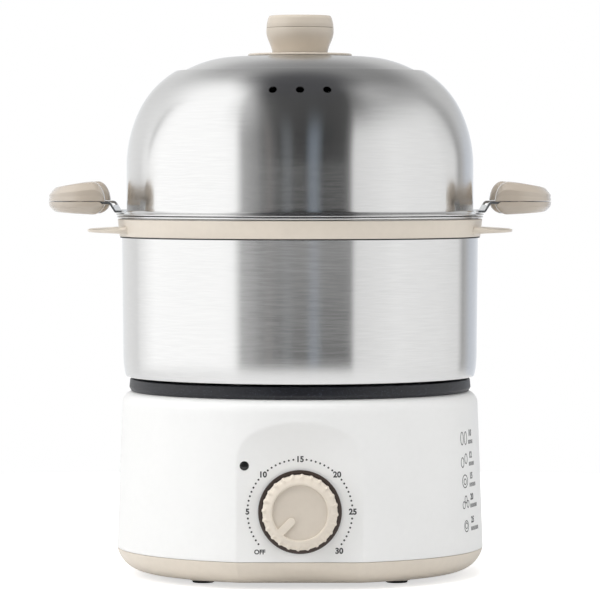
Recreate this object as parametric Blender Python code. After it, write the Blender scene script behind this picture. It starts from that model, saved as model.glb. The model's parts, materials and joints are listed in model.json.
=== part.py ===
"""Electric food steamer: heating base with a timer, steel pot, steam tray and domed lid.

Metres, +Z up, the front towards -Y, the origin on the table under the pot's axis.
"""
import math

import bmesh
import bpy
from mathutils import Matrix, Vector

MM = 0.001

# Facets of the turned pieces, from the large shells down to screws
SHELL_SIDES = 32
ROUND_SIDES = 24
DISC_SIDES = 12
BOSS_SIDES = 8
SCREW_SIDES = 6

# Clearances and cutter lengths shared by all pieces
GAP = 0.3 * MM
WELD = 0.001 * MM
BITE = 0.8 * MM
OVERRUN = 3.0 * MM

# Feet
FOOT_HEIGHT = 3.4 * MM
FOOT_INSET = 18.0 * MM
FOOT_BOSS_RADIUS = 8.0 * MM
FOOT_BOSS_DROP = 1.8 * MM
FOOT_PAD_RADIUS = 6.6 * MM
FOOT_PAD_HEIGHT = 2.6 * MM

# Base tray, the lower shell of the housing
TRAY_FLANK_RUN = 12.2 * MM
TRAY_HEIGHT = 14.1 * MM
TRAY_FLANK_ROUND = 18.0 * MM
SHELL_WALL = 2.4 * MM
SPIGOT_HEIGHT = 3.0 * MM
SPIGOT_WALL = 1.8 * MM
VENT_LENGTH = 30.0 * MM
VENT_WIDTH = 3.0 * MM
VENT_PITCH = 9.0 * MM
VENT_COUNT = 5
VENT_ROW_Y = 34.0 * MM

# Housing, the upper shell
SEAM_RADIUS = 112.0 * MM
HOUSING_HEIGHT = 94.4 * MM
HOUSING_DRAFT_RUN = 3.3 * MM
HOUSING_SHOULDER_ROUND = 8.0 * MM
HOUSING_TOP_WIDTH = 18.7 * MM

# Flat front panel, cut as a chord across the housing and the tray
PANEL_HALF_WIDTH = 37.4 * MM
PANEL_FOOT_HALF_WIDTH = 35.6 * MM
PANEL_HEIGHT = 80.7 * MM
PANEL_ARCH_ROUND = 26.3 * MM
PANEL_CUT_DEPTH = 12.0 * MM
PANEL_FLARE_ANGLE = math.radians(60)

# Screws that hold the tray to the housing's posts
POST_CLEARANCE = 1.5 * MM
POST_RADIUS = 4.0 * MM
TRAY_BOSS_RADIUS = 5.6 * MM
TRAY_BOSS_HEIGHT = 3.6 * MM
COUNTERBORE_DEPTH = 3.2 * MM
SCREW_RADIUS = 1.5 * MM
SCREW_HEAD_RADIUS = 2.8 * MM
SCREW_HEAD_HEIGHT = 1.8 * MM
BASE_SCREW_LENGTH = 18.0 * MM
DISH_SCREW_LENGTH = 7.6 * MM
BRACKET_SCREW_LENGTH = 5.6 * MM
TIMER_SCREW_LENGTH = 12.0 * MM
HANDLE_SCREW_LENGTH = 9.6 * MM

# Heating dish, gasket and heater
DISH_RIM_HEIGHT = 8.1 * MM
DISH_RIM_INSET = 3.8 * MM
DISH_RIM_TAPER = 0.8 * MM
DISH_RIM_WALL = 7.5 * MM
DISH_RIM_CHAMFER = 0.7 * MM
DISH_LEDGE_HEIGHT = 2.5 * MM
DISH_LEDGE_WIDTH = 8.6 * MM
DISH_DEPTH = 26.5 * MM
DISH_FLANK_RUN = 11.0 * MM
DISH_FLOOR_WALL = 4.0 * MM
DISH_WALL = 3.2 * MM
DISH_FLOOR_ROUND = 4.0 * MM
DISH_NECK_HEIGHT = 3.0 * MM
DISH_SCREW_INSET = 4.1 * MM
DISH_SCREW_COUNT = 3
GASKET_INSET = 2.2 * MM
GASKET_WIDTH = 2.0 * MM
GASKET_HEIGHT = 1.1 * MM
ELEMENT_INSET = 21.0 * MM
ELEMENT_TUBE_RADIUS = 3.5 * MM
ELEMENT_OPEN_ANGLE = math.radians(34)
ELEMENT_PIN_DROP = 12.0 * MM
THERMOSTAT_CAP_RADIUS = 8.4 * MM
THERMOSTAT_CAP_HEIGHT = 6.0 * MM
THERMOSTAT_BODY_RADIUS = 6.4 * MM
THERMOSTAT_BODY_HEIGHT = 7.0 * MM
BRACKET_HALF_LENGTH = 28.0 * MM
BRACKET_HALF_WIDTH = 8.8 * MM
BRACKET_SHEET = 1.2 * MM
DISH_BOSS_PITCH = 22.0 * MM
DISH_BOSS_RADIUS = 4.4 * MM

# Timer, its dial and the indicator lamp
DIAL_CENTRE_HEIGHT = 28.5 * MM
BEZEL_RADIUS = 24.55 * MM
BEZEL_THICKNESS = 1.5 * MM
TIMER_HALF_WIDTH = 26.0 * MM
TIMER_HALF_HEIGHT = 24.0 * MM
TIMER_DEPTH = 30.0 * MM
TIMER_CORNER_ROUND = 4.0 * MM
TIMER_SCREW_OFFSET = 14.0 * MM
TIMER_BORE_DEPTH = 8.0 * MM
SHAFT_RADIUS = 3.0 * MM
SHAFT_FLAT = 1.9 * MM
SHAFT_OVERHANG = 10.4 * MM
BEZEL_MARGIN = 1.75 * MM
KNOB_PROTRUSION = 14.0 * MM
KNOB_BACK_CLEARANCE = 0.5 * MM
KNOB_FLUTES = 24
KNOB_POINTS_PER_FLUTE = 3
KNOB_FLUTE_DEPTH = 0.9 * MM
KNOB_WALL = 2.0 * MM
KNOB_LAND_INSET = 3.8 * MM
KNOB_LAND_WIDTH = 2.9 * MM
KNOB_RECESS_DEPTH = 0.7 * MM
KNOB_EDGE_DROP = 1.1 * MM
KNOB_EDGE_INSET = 1.0 * MM
KNOB_FRONT_WALL = 2.6 * MM
KNOB_HUB_RADIUS = 6.0 * MM
POINTER_HALF_WIDTH = 2.3 * MM
POINTER_TAIL = 1.5 * MM
POINTER_REST_ANGLE = math.radians(225)
LAMP_OFFSET = 32.7 * MM
LAMP_HEIGHT = 55.5 * MM
LAMP_LENS_RADIUS = 2.65 * MM
LAMP_LENS_CROWN = 0.7 * MM
LAMP_FLANGE_RADIUS = 3.5 * MM
LAMP_FLANGE_HEIGHT = 1.2 * MM
LAMP_BODY_LENGTH = 13.0 * MM

# Cord gland and the terminal block behind it
GLAND_HEIGHT = 14.0 * MM
GLAND_RADIUS = 7.2 * MM
GLAND_TIP_RADIUS = 5.2 * MM
GLAND_NECK_RADIUS = 5.4 * MM
GLAND_CLIP_RADIUS = 6.4 * MM
GLAND_CLIP_CLEARANCE = 0.7 * MM
GLAND_CLIP_LENGTH = 2.6 * MM
GLAND_REACH = 7.0 * MM
GLAND_SLOT_HALF_WIDTH = 2.7 * MM
GLAND_SLOT_HALF_HEIGHT = 1.6 * MM
TERMINAL_HALF_LENGTH = 15.0 * MM
TERMINAL_HALF_WIDTH = 7.0 * MM
TERMINAL_HEIGHT = 11.0 * MM
TERMINAL_WELL_RADIUS = 2.2 * MM
TERMINAL_WELL_DEPTH = 5.0 * MM
TERMINAL_PITCH = 9.0 * MM
TERMINAL_POSITION_Y = 70.0 * MM

# Pot and its collar
POT_HEIGHT = 98.0 * MM
POT_SHEET = 0.8 * MM
POT_WALL_INSET = 3.1 * MM
POT_WALL_DRAFT = 0.7 * MM
POT_CORNER_ROUND = 8.0 * MM
POT_STEP_CLEARANCE = 1.1 * MM
POT_STEP_DEPTH = 5.3 * MM
POT_STEP_TAPER = 1.5 * MM
POT_FLOOR_WIDTH = 12.3 * MM
POT_RIM_REACH = 3.1 * MM
POT_RIM_HEIGHT = 1.5 * MM
COLLAR_HEIGHT = 11.5 * MM
COLLAR_FOOT_WALL = 0.9 * MM
COLLAR_TOP_WALL = 2.2 * MM
EAR_REACH = 21.8 * MM
EAR_HALF_WIDTH = 48.0 * MM
EAR_ARM_WIDTH = 10.0 * MM
EAR_ROOT_HEIGHT = 4.5 * MM
EAR_TIP_HEIGHT = 2.3 * MM
EAR_RISE = 4.1 * MM
EAR_ROOT_DEPTH = 10.9 * MM
LOOP_SQUARENESS_SHARE = 2 / 3

# Steam tray
STEAM_TRAY_SEAT = 4.0 * MM
STEAM_TRAY_SHEET = 0.8 * MM
STEAM_TRAY_LIP = 2.8 * MM
STEAM_HOLE_RADIUS = 2.6 * MM
STEAM_RING_MARGIN = 16.0 * MM
STEAM_RING_COUNT = 3
STEAM_HOLES_PER_RING = 5

# Lid
LID_SHEET = 0.8 * MM
LID_FLANGE_OVERHANG = 0.6 * MM
LID_FLANGE_WIDTH = 6.7 * MM
LID_FLANGE_HEIGHT = 1.7 * MM
LID_LIP_DEPTH = 4.2 * MM
LID_LIP_CLEARANCE = 0.7 * MM
DOME_WALL_HEIGHT = 29.7 * MM
DOME_SHOULDER_ROUND = 79.0 * MM
DOME_SHOULDER_ANGLE = math.radians(25)
DOME_CROWN_ROUND = 56.0 * MM
DOME_CROWN_ANGLE = math.radians(60)
DOME_LEDGE_WIDTH = 4.9 * MM
DOME_CAP_RISE = 9.2 * MM
VENT_HOLE_RADIUS = 2.5 * MM
VENT_HOLE_ANGLE = math.radians(39)
VENT_HOLE_TURN = math.radians(10.3)
VENT_HOLE_COUNT = 3

# Lid knob
KNOB_BASE_RADIUS = 32.0 * MM
KNOB_BASE_MARGIN = 6.0 * MM
KNOB_BASE_EDGE = 1.5 * MM
KNOB_BASE_HEIGHT = 2.2 * MM
KNOB_NECK_RADIUS = 17.2 * MM
KNOB_SWELL = 3.6 * MM
KNOB_BULGE_RISE_SHARE = 0.62
KNOB_BODY_HEIGHT = 15.2 * MM
KNOB_GROOVE = 0.6 * MM
KNOB_CAP_HEIGHT = 6.3 * MM
KNOB_CAP_INSET = 5.2 * MM
KNOB_CAP_ROUND = 3.2 * MM
KNOB_SPIGOT_RADIUS = 12.0 * MM
KNOB_SPIGOT_DEPTH = 4.0 * MM
LID_SCREW_RADIUS = 2.2 * MM
LID_SCREW_HEAD_RADIUS = 4.6 * MM
LID_SCREW_HEAD_HEIGHT = 2.6 * MM
LID_SCREW_LENGTH = 14.0 * MM
WASHER_RADIUS = 7.5 * MM
WASHER_HEIGHT = 1.2 * MM

# Lid side handles and the bent brackets that carry them
HANDLE_STANDOFF = 4.8 * MM
HANDLE_REACH = 35.8 * MM
HANDLE_HALF_WIDTH = 42.0 * MM
HANDLE_ARM_WIDTH = 14.0 * MM
HANDLE_SPLIT_RISE = 8.0 * MM
HANDLE_UPPER_INNER_HEIGHT = 12.6 * MM
HANDLE_UPPER_TIP_HEIGHT = 8.8 * MM
HANDLE_LOWER_INNER_HEIGHT = 7.5 * MM
HANDLE_LOWER_TIP_HEIGHT = 6.0 * MM
HANDLE_NOSE_LENGTH = 5.0 * MM
HANDLE_NOSE_SHARES = ((0, 0.6), (0.3, 0.9))
HANDLE_SQUARENESS_SHARE = 0.72
BRACKET_PLATE = 1.0 * MM
BRACKET_FOOT_WIDTH = 4.6 * MM
BRACKET_RUN = 3.0 * MM
PRONG_PITCH = 33.0 * MM
PRONG_HALF_WIDTH = 4.0 * MM
PRONG_REACH = 14.0 * MM
HANDLE_SCREW_INSET = 8.5 * MM
HANDLE_SCREW_WELL = 2.4 * MM

# Radii that follow from the seam, the widest circle of the base
TRAY_BOTTOM_RADIUS = SEAM_RADIUS - TRAY_FLANK_RUN
FOOT_PITCH_RADIUS = TRAY_BOTTOM_RADIUS - FOOT_INSET
HOUSING_SHOULDER_RADIUS = SEAM_RADIUS - HOUSING_DRAFT_RUN
HOUSING_OPENING_RADIUS = HOUSING_SHOULDER_RADIUS - HOUSING_TOP_WIDTH
POST_PITCH_RADIUS = HOUSING_OPENING_RADIUS + POST_RADIUS + POST_CLEARANCE
DISH_RIM_RADIUS = HOUSING_SHOULDER_RADIUS - DISH_RIM_INSET
DISH_FLOOR_RADIUS = HOUSING_OPENING_RADIUS - DISH_FLANK_RUN
DISH_SCREW_PITCH_RADIUS = DISH_RIM_RADIUS - DISH_SCREW_INSET
GASKET_RADIUS = HOUSING_OPENING_RADIUS + GASKET_INSET
ELEMENT_RADIUS = DISH_FLOOR_RADIUS - ELEMENT_INSET
POT_WALL_RADIUS = SEAM_RADIUS - POT_WALL_INSET
POT_WALL_FOOT_RADIUS = POT_WALL_RADIUS - POT_WALL_DRAFT
POT_STEP_RADIUS = DISH_RIM_RADIUS - DISH_RIM_WALL - POT_STEP_CLEARANCE
POT_OPENING_RADIUS = POT_STEP_RADIUS - POT_FLOOR_WIDTH
POT_RIM_RADIUS = POT_WALL_RADIUS + POT_RIM_REACH
EAR_START_RADIUS = POT_WALL_RADIUS - EAR_ROOT_DEPTH
EAR_TIP_RADIUS = POT_WALL_RADIUS + EAR_REACH
STEAM_TRAY_RADIUS = POT_OPENING_RADIUS + STEAM_TRAY_SEAT
STEAM_RING_PITCH = (STEAM_TRAY_RADIUS - STEAM_RING_MARGIN) / STEAM_RING_COUNT
LID_FLANGE_RADIUS = POT_RIM_RADIUS + LID_FLANGE_OVERHANG
DOME_RADIUS = LID_FLANGE_RADIUS - LID_FLANGE_WIDTH
HANDLE_INNER_RADIUS = LID_FLANGE_RADIUS + HANDLE_STANDOFF
HANDLE_TIP_RADIUS = HANDLE_INNER_RADIUS + HANDLE_REACH

# Radii of the two knobs and of the lid's cap
KNOB_RADIUS = BEZEL_RADIUS - BEZEL_MARGIN
KNOB_LAND_RADIUS = KNOB_RADIUS - KNOB_LAND_INSET
KNOB_RECESS_RADIUS = KNOB_LAND_RADIUS - KNOB_LAND_WIDTH
KNOB_BULGE_RADIUS = KNOB_NECK_RADIUS + KNOB_SWELL
KNOB_CAP_TOP_RADIUS = KNOB_BULGE_RADIUS - KNOB_CAP_INSET
DOME_CAP_FLAT_RADIUS = KNOB_BASE_RADIUS + KNOB_BASE_MARGIN

# Heights of the stack, from the table up
TRAY_BOTTOM = FOOT_HEIGHT
TRAY_FLOOR = TRAY_BOTTOM + SHELL_WALL
SEAM = TRAY_BOTTOM + TRAY_HEIGHT
HOUSING_BOTTOM = SEAM + GAP
HOUSING_TOP = HOUSING_BOTTOM + HOUSING_HEIGHT
DISH_BOTTOM = HOUSING_TOP + GAP
DISH_TOP = DISH_BOTTOM + DISH_RIM_HEIGHT
DISH_UNDERSIDE = DISH_BOTTOM - DISH_DEPTH
POT_BOTTOM = DISH_TOP + GAP
POT_TOP = POT_BOTTOM + POT_HEIGHT
POT_FLOOR = POT_BOTTOM - POT_STEP_DEPTH
COLLAR_TOP = POT_TOP - POT_RIM_HEIGHT - GAP
LID_BOTTOM = POT_TOP + GAP
FLANGE_TOP = LID_BOTTOM + LID_FLANGE_HEIGHT
SPLIT = LID_BOTTOM + HANDLE_SPLIT_RISE

# Looks: colour, roughness and metallic value
BEIGE = ((0.62, 0.54, 0.44), 0.34, 0.0)
WHITE = ((0.86, 0.85, 0.83), 0.4, 0.0)
BLACK_COATING = ((0.025, 0.027, 0.035), 0.45, 0.0)
STEEL = ((0.62, 0.62, 0.61), 0.3, 1.0)
RUBBER = ((0.03, 0.03, 0.03), 0.8, 0.0)
SILICONE = ((0.35, 0.35, 0.35), 0.7, 0.0)
DARK_PLASTIC = ((0.06, 0.05, 0.045), 0.45, 0.0)
PHENOLIC = ((0.12, 0.09, 0.07), 0.6, 0.0)
NYLON = ((0.75, 0.73, 0.68), 0.5, 0.0)
ZINC = ((0.5, 0.5, 0.52), 0.35, 1.0)


def clear_scene():
    for item in list(bpy.data.objects):
        bpy.data.objects.remove(item, do_unlink=True)


def new_empty(name, location=(0, 0, 0), rotation=(0, 0, 0)):
    empty = bpy.data.objects.new(name, None)
    empty.location = location
    empty.rotation_euler = rotation
    bpy.context.scene.collection.objects.link(empty)
    return empty


def finish(name, look):
    """Material from a look: colour, roughness and metallic value."""
    colour, roughness, metallic = look
    material = bpy.data.materials.new(name)
    material.use_nodes = True
    shader = material.node_tree.nodes["Principled BSDF"]
    shader.inputs["Base Color"].default_value = (*colour, 1)
    shader.inputs["Roughness"].default_value = roughness
    shader.inputs["Metallic"].default_value = metallic
    return material


def new_object(name, bm, look=None, parent=None, location=(0, 0, 0), rotation=(0, 0, 0)):
    """Turn a bmesh into an object; without a look it is a hidden tool for a Boolean."""
    bmesh.ops.recalc_face_normals(bm, faces=bm.faces)
    mesh = bpy.data.meshes.new(name)
    bm.to_mesh(mesh)
    bm.free()
    item = bpy.data.objects.new(name, mesh)
    bpy.context.scene.collection.objects.link(item)
    item.parent = parent
    item.location = location
    item.rotation_euler = rotation
    if look is None:
        item.hide_render = True
        item.display_type = "WIRE"
        return item
    mesh.materials.append(finish(name, look))
    mesh.shade_smooth()
    mesh.set_sharp_from_angle(angle=math.radians(28))
    return item


def combine(target, tool, operation="DIFFERENCE"):
    """Boolean with a hidden tool, then a weld of the points that it leaves in one place."""
    modifier = target.modifiers.new(tool.name, "BOOLEAN")
    modifier.operation = operation
    modifier.object = tool
    weld = target.modifiers.new(tool.name + "_weld", "WELD")
    weld.merge_threshold = WELD


def add_turned(bm, outline, sides, matrix=None):
    """Spin an outline of (radius, height) points round Z and add it to the bmesh."""
    verts = [bm.verts.new((radius, 0, height)) for radius, height in outline]
    pairs = list(zip(verts, verts[1:]))
    if max(outline[0][0], outline[-1][0]) > 0:
        pairs.append((verts[-1], verts[0]))
    edges = [bm.edges.new(pair) for pair in pairs]
    before = set(bm.verts) - set(verts)
    bmesh.ops.spin(
        bm, geom=verts + edges, cent=(0, 0, 0), axis=(0, 0, 1), angle=math.tau, steps=sides, use_merge=True
    )
    added = [vert for vert in bm.verts if vert not in before]
    bmesh.ops.remove_doubles(bm, verts=added, dist=WELD)
    hubs = [end[1] for end, beside in (outline[:2], outline[:-3:-1]) if end[0] == 0 and end[1] == beside[1]]
    added = [vert for vert in bm.verts if vert not in before]
    centres = [vert for vert in added if vert.co.xy.length < WELD and vert.co.z in hubs]
    bmesh.ops.dissolve_verts(bm, verts=centres)
    if matrix is not None:
        added = [vert for vert in bm.verts if vert not in before]
        bmesh.ops.transform(bm, matrix=matrix, verts=added)


def add_prism(bm, outline, low, high, matrix=None):
    """Extrude an outline of (x, y) points from one height to another."""
    base = bm.faces.new([bm.verts.new((x, y, low)) for x, y in outline])
    grown = bmesh.ops.extrude_face_region(bm, geom=[base])
    top = [part for part in grown["geom"] if isinstance(part, bmesh.types.BMVert)]
    bmesh.ops.translate(bm, verts=top, vec=(0, 0, high - low))
    if matrix is not None:
        bmesh.ops.transform(bm, matrix=matrix, verts=list(base.verts) + top)


def add_loft(bm, rings):
    """Join rings of equally many points with side faces and close both ends."""
    loops = [[bm.verts.new(point) for point in ring] for ring in rings]
    for lower, upper in zip(loops, loops[1:]):
        for index, vert in enumerate(lower):
            beside = (index + 1) % len(lower)
            bm.faces.new((vert, lower[beside], upper[beside], upper[index]))
    bm.faces.new(loops[0][::-1])
    bm.faces.new(loops[-1])


def turned(outline, sides):
    bm = bmesh.new()
    add_turned(bm, outline, sides)
    return bm


def prism(outline, low, high):
    bm = bmesh.new()
    add_prism(bm, outline, low, high)
    return bm


def rod(radius, low, high):
    return [(0, low), (radius, low), (radius, high), (0, high)]


def stepped_rod(wide, low, step, narrow, high):
    return [(0, low), (wide, low), (wide, step), (narrow, step), (narrow, high), (0, high)]


def ring_outline(inner, outer, low, high):
    return [(inner, low), (outer, low), (outer, high), (inner, high)]


def arc(centre, radius, start, end, steps):
    """Points of an arc about a centre, both ends included."""
    angles = [start + (end - start) * step / steps for step in range(steps + 1)]
    return [(centre[0] + radius * math.cos(a), centre[1] + radius * math.sin(a)) for a in angles]


def flank_arc(start, end, radius, steps):
    """Arc of a given radius that bulges to the right of the line from start to end."""
    across = Vector(end) - Vector(start)
    middle = (Vector(start) + Vector(end)) / 2
    rise = math.sqrt(radius ** 2 - (across.length / 2) ** 2)
    centre = middle + Vector((-across.y, across.x)).normalized() * rise
    first = math.atan2(start[1] - centre.y, start[0] - centre.x)
    last = math.atan2(end[1] - centre.y, end[0] - centre.x)
    return arc(centre, radius, first, last, steps)


def circle(radius, sides, centre=(0, 0)):
    return arc(centre, radius, 0, math.tau * (sides - 1) / sides, sides - 1)


def rounded_box(half_width, half_height, radius, steps):
    """Outline of a rectangle with rounded corners, about the origin."""
    points = []
    for corner, (side, level) in enumerate(((1, 1), (-1, 1), (-1, -1), (1, -1))):
        centre = (side * (half_width - radius), level * (half_height - radius))
        start = corner * math.pi / 2
        points += arc(centre, radius, start, start + math.pi / 2, steps)
    return points


def box_outline(left, right, low, high):
    return [(left, low), (right, low), (right, high), (left, high)]


def d_outline(radius, flat, sides):
    """Round outline with one side cut flat."""
    return [(min(x, flat), y) for x, y in circle(radius, sides)]


def around(radius, angle, height=0):
    return Vector((radius * math.cos(angle), radius * math.sin(angle), height))


def diagonals(radius):
    """The four places on the diagonals, named as seen by someone in front of the base."""
    names = ("rear_right", "rear_left", "front_left", "front_right")
    return [(name, around(radius, math.pi / 4 + turn * math.pi / 2)) for turn, name in enumerate(names)]


def chord_distance(radius, half_width):
    return math.sqrt(radius ** 2 - half_width ** 2)


def housing_radius(height):
    """Outer radius of the drafted housing wall at a height below its shoulder."""
    shoulder = HOUSING_TOP - HOUSING_SHOULDER_ROUND
    share = (height - HOUSING_BOTTOM) / (shoulder - HOUSING_BOTTOM)
    return SEAM_RADIUS + (HOUSING_SHOULDER_RADIUS - SEAM_RADIUS) * share


def housing_draft():
    shoulder = HOUSING_TOP - HOUSING_SHOULDER_ROUND
    return math.atan2(SEAM_RADIUS - HOUSING_SHOULDER_RADIUS, shoulder - HOUSING_BOTTOM)


def panel_distance(height):
    return chord_distance(housing_radius(height), PANEL_HALF_WIDTH)


def panel_tilt():
    shoulder = HOUSING_TOP - HOUSING_SHOULDER_ROUND
    lean = panel_distance(HOUSING_BOTTOM) - panel_distance(shoulder)
    return math.atan2(lean, shoulder - HOUSING_BOTTOM)


def panel_empty(name, x, rise):
    """Empty on the panel's face, with its Z axis pointing out of the panel."""
    foot = Vector((x, -panel_distance(HOUSING_BOTTOM), HOUSING_BOTTOM))
    up = Vector((0, math.sin(panel_tilt()), math.cos(panel_tilt())))
    return new_empty(name, foot + up * rise, (math.pi / 2 - panel_tilt(), 0, 0))


def panel_cutter(name, inset, empty):
    """Arch with flared walls that leaves the flat panel; inset gives the inner face."""
    spread = inset * math.tan((math.pi / 2 - PANEL_FLARE_ANGLE) / 2)
    rings = []
    for depth in (0, PANEL_CUT_DEPTH):
        grow = spread + depth * math.tan(PANEL_FLARE_ANGLE)
        half_width = PANEL_HALF_WIDTH + grow
        top = PANEL_HEIGHT + grow
        corner = PANEL_ARCH_ROUND + grow
        outline = [(-half_width, -OVERRUN), (half_width, -OVERRUN)]
        outline += arc((half_width - corner, top - corner), corner, 0, math.pi / 2, 6)
        outline += arc((corner - half_width, top - corner), corner, math.pi / 2, math.pi, 6)
        rings.append([(x, y, depth - inset) for x, y in outline])
    bm = bmesh.new()
    add_loft(bm, rings)
    return new_object(name, bm, parent=empty)


def panel_half_width(height):
    """Half-width of the panel, which narrows a little down the tray's flank."""
    share = min(1, (height - TRAY_BOTTOM) / TRAY_HEIGHT)
    return PANEL_FOOT_HALF_WIDTH + (PANEL_HALF_WIDTH - PANEL_FOOT_HALF_WIDTH) * share


def facet_cutter(name, flank):
    """Bar along X that cuts the tray's flank straight across under the panel."""
    front = [Vector((-chord_distance(radius, panel_half_width(height)), height)) for radius, height in flank]
    front[0] += (front[0] - front[1]).normalized() * OVERRUN
    front.append(front[-1] + Vector((0, OVERRUN)))
    beyond = -SEAM_RADIUS - 2 * OVERRUN
    outline = front + [(beyond, front[-1].y), (beyond, front[0].y)]
    bm = bmesh.new()
    turn = Matrix(((0, 0, 1, 0), (1, 0, 0, 0), (0, 1, 0, 0), (0, 0, 0, 1)))
    add_prism(bm, outline, -SEAM_RADIUS / 2, SEAM_RADIUS / 2, turn)
    return new_object(name, bm)


def screw(name, length, parent=None, location=(0, 0, 0), rotation=(0, 0, 0)):
    """Pan-head screw: the head below its seat at z = 0, the shank above it."""
    outline = stepped_rod(SCREW_HEAD_RADIUS, -SCREW_HEAD_HEIGHT, 0, SCREW_RADIUS, length)
    return new_object(name, turned(outline, SCREW_SIDES), ZINC, parent, location, rotation)


def build_base_tray():
    flank = flank_arc((TRAY_BOTTOM_RADIUS, TRAY_BOTTOM), (SEAM_RADIUS, SEAM), TRAY_FLANK_ROUND, 4)
    spigot = SEAM_RADIUS - SHELL_WALL - GAP
    spigot_top = SEAM + SPIGOT_HEIGHT
    rim = [(spigot, SEAM), (spigot, spigot_top)]
    tray = new_object(
        "base_tray", turned([(0, TRAY_BOTTOM)] + flank + rim + [(0, spigot_top)], SHELL_SIDES), BEIGE
    )
    combine(tray, facet_cutter("tray_facet", flank + rim))

    inside = spigot - SPIGOT_WALL
    mouth = (inside, spigot_top + OVERRUN)
    foot = (TRAY_BOTTOM_RADIUS - SHELL_WALL, TRAY_FLOOR)
    hollow = flank_arc(foot, (inside, SEAM), TRAY_FLANK_ROUND - SHELL_WALL, 3) + [mouth]
    cavity = new_object(
        "tray_cavity", turned([(0, TRAY_FLOOR)] + hollow + [(0, mouth[1])], SHELL_SIDES)
    )
    combine(cavity, facet_cutter("tray_cavity_facet", hollow))

    bosses = bmesh.new()
    feet = bmesh.new()
    holes = bmesh.new()
    boss_top = TRAY_FLOOR + TRAY_BOSS_HEIGHT
    foot_low = TRAY_BOTTOM - FOOT_BOSS_DROP
    well = rod(FOOT_PAD_RADIUS + GAP, -OVERRUN, FOOT_PAD_HEIGHT + GAP)
    screw_hole = stepped_rod(
        SCREW_HEAD_RADIUS + GAP,
        TRAY_BOTTOM - OVERRUN,
        TRAY_BOTTOM + COUNTERBORE_DEPTH,
        SCREW_RADIUS + GAP,
        boss_top + OVERRUN,
    )
    for name, place in diagonals(POST_PITCH_RADIUS):
        spot = Matrix.Translation(place)
        add_turned(bosses, rod(TRAY_BOSS_RADIUS, TRAY_FLOOR - BITE, boss_top), BOSS_SIDES, spot)
        add_turned(holes, screw_hole, BOSS_SIDES, spot)
        seat = place + Vector((0, 0, TRAY_BOTTOM + COUNTERBORE_DEPTH - GAP))
        screw("base_screw_" + name, BASE_SCREW_LENGTH, location=seat)
    for name, place in diagonals(FOOT_PITCH_RADIUS):
        spot = Matrix.Translation(place)
        add_turned(feet, rod(FOOT_BOSS_RADIUS, foot_low, TRAY_BOTTOM + BITE), DISC_SIDES, spot)
        add_turned(holes, well, DISC_SIDES, spot)
        pad = turned(rod(FOOT_PAD_RADIUS, 0, FOOT_PAD_HEIGHT), DISC_SIDES)
        new_object("foot_pad_" + name, pad, RUBBER, location=place)
    for index in range(VENT_COUNT):
        x = (index - (VENT_COUNT - 1) / 2) * VENT_PITCH
        slot = rounded_box(VENT_WIDTH / 2, VENT_LENGTH / 2, VENT_WIDTH / 2 - WELD, 1)
        spot = Matrix.Translation((x, VENT_ROW_Y, 0))
        add_prism(holes, slot, TRAY_BOTTOM - OVERRUN, TRAY_FLOOR + OVERRUN, spot)
    combine(cavity, new_object("tray_bosses", bosses))
    combine(tray, new_object("tray_feet", feet), "UNION")
    combine(tray, cavity)
    combine(tray, new_object("tray_holes", holes))


def build_housing():
    centre = (HOUSING_SHOULDER_RADIUS - HOUSING_SHOULDER_ROUND, HOUSING_TOP - HOUSING_SHOULDER_ROUND)
    wall = [(SEAM_RADIUS, HOUSING_BOTTOM)] + arc(centre, HOUSING_SHOULDER_ROUND, 0, math.pi / 2, 4)
    outline = [(0, HOUSING_BOTTOM)] + wall + [(0, HOUSING_TOP)]
    housing = new_object("housing_shell", turned(outline, SHELL_SIDES), WHITE)
    face = panel_empty("panel_face", 0, 0)
    combine(housing, panel_cutter("panel_cut", 0, face))

    low = HOUSING_BOTTOM - OVERRUN
    ceiling = HOUSING_TOP - SHELL_WALL
    inner = [(SEAM_RADIUS - SHELL_WALL, low), (SEAM_RADIUS - SHELL_WALL, HOUSING_BOTTOM)]
    inner += arc(centre, HOUSING_SHOULDER_ROUND - SHELL_WALL, 0, math.pi / 2, 4)
    cavity = new_object("housing_cavity", turned([(0, low)] + inner + [(0, ceiling)], SHELL_SIDES))
    combine(cavity, panel_cutter("panel_cut_inside", SHELL_WALL, face))
    combine(housing, cavity)

    posts = bmesh.new()
    holes = bmesh.new()
    post_foot = TRAY_FLOOR + TRAY_BOSS_HEIGHT + GAP
    post_hole_top = TRAY_BOTTOM + COUNTERBORE_DEPTH + BASE_SCREW_LENGTH + OVERRUN
    for name, place in diagonals(POST_PITCH_RADIUS):
        spot = Matrix.Translation(place)
        add_turned(posts, rod(POST_RADIUS, post_foot, ceiling + BITE), BOSS_SIDES, spot)
        hole = rod(SCREW_RADIUS + GAP, post_foot - OVERRUN, post_hole_top)
        add_turned(holes, hole, SCREW_SIDES, spot)
    opening = rod(HOUSING_OPENING_RADIUS, ceiling - OVERRUN, HOUSING_TOP + OVERRUN)
    add_turned(holes, opening, SHELL_SIDES)
    seat = stepped_rod(
        SCREW_HEAD_RADIUS + GAP,
        ceiling - SCREW_HEAD_HEIGHT - OVERRUN,
        ceiling,
        SCREW_RADIUS + GAP,
        HOUSING_TOP + OVERRUN,
    )
    for place in dish_screw_places():
        add_turned(holes, seat, BOSS_SIDES, Matrix.Translation(place))
    combine(housing, new_object("housing_posts", posts), "UNION")
    combine(housing, new_object("housing_holes", holes))
    return housing


def dish_screw_places():
    turns = [math.pi / 2 + math.tau * index / DISH_SCREW_COUNT for index in range(DISH_SCREW_COUNT)]
    return [around(DISH_SCREW_PITCH_RADIUS, turn) for turn in turns]


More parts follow.
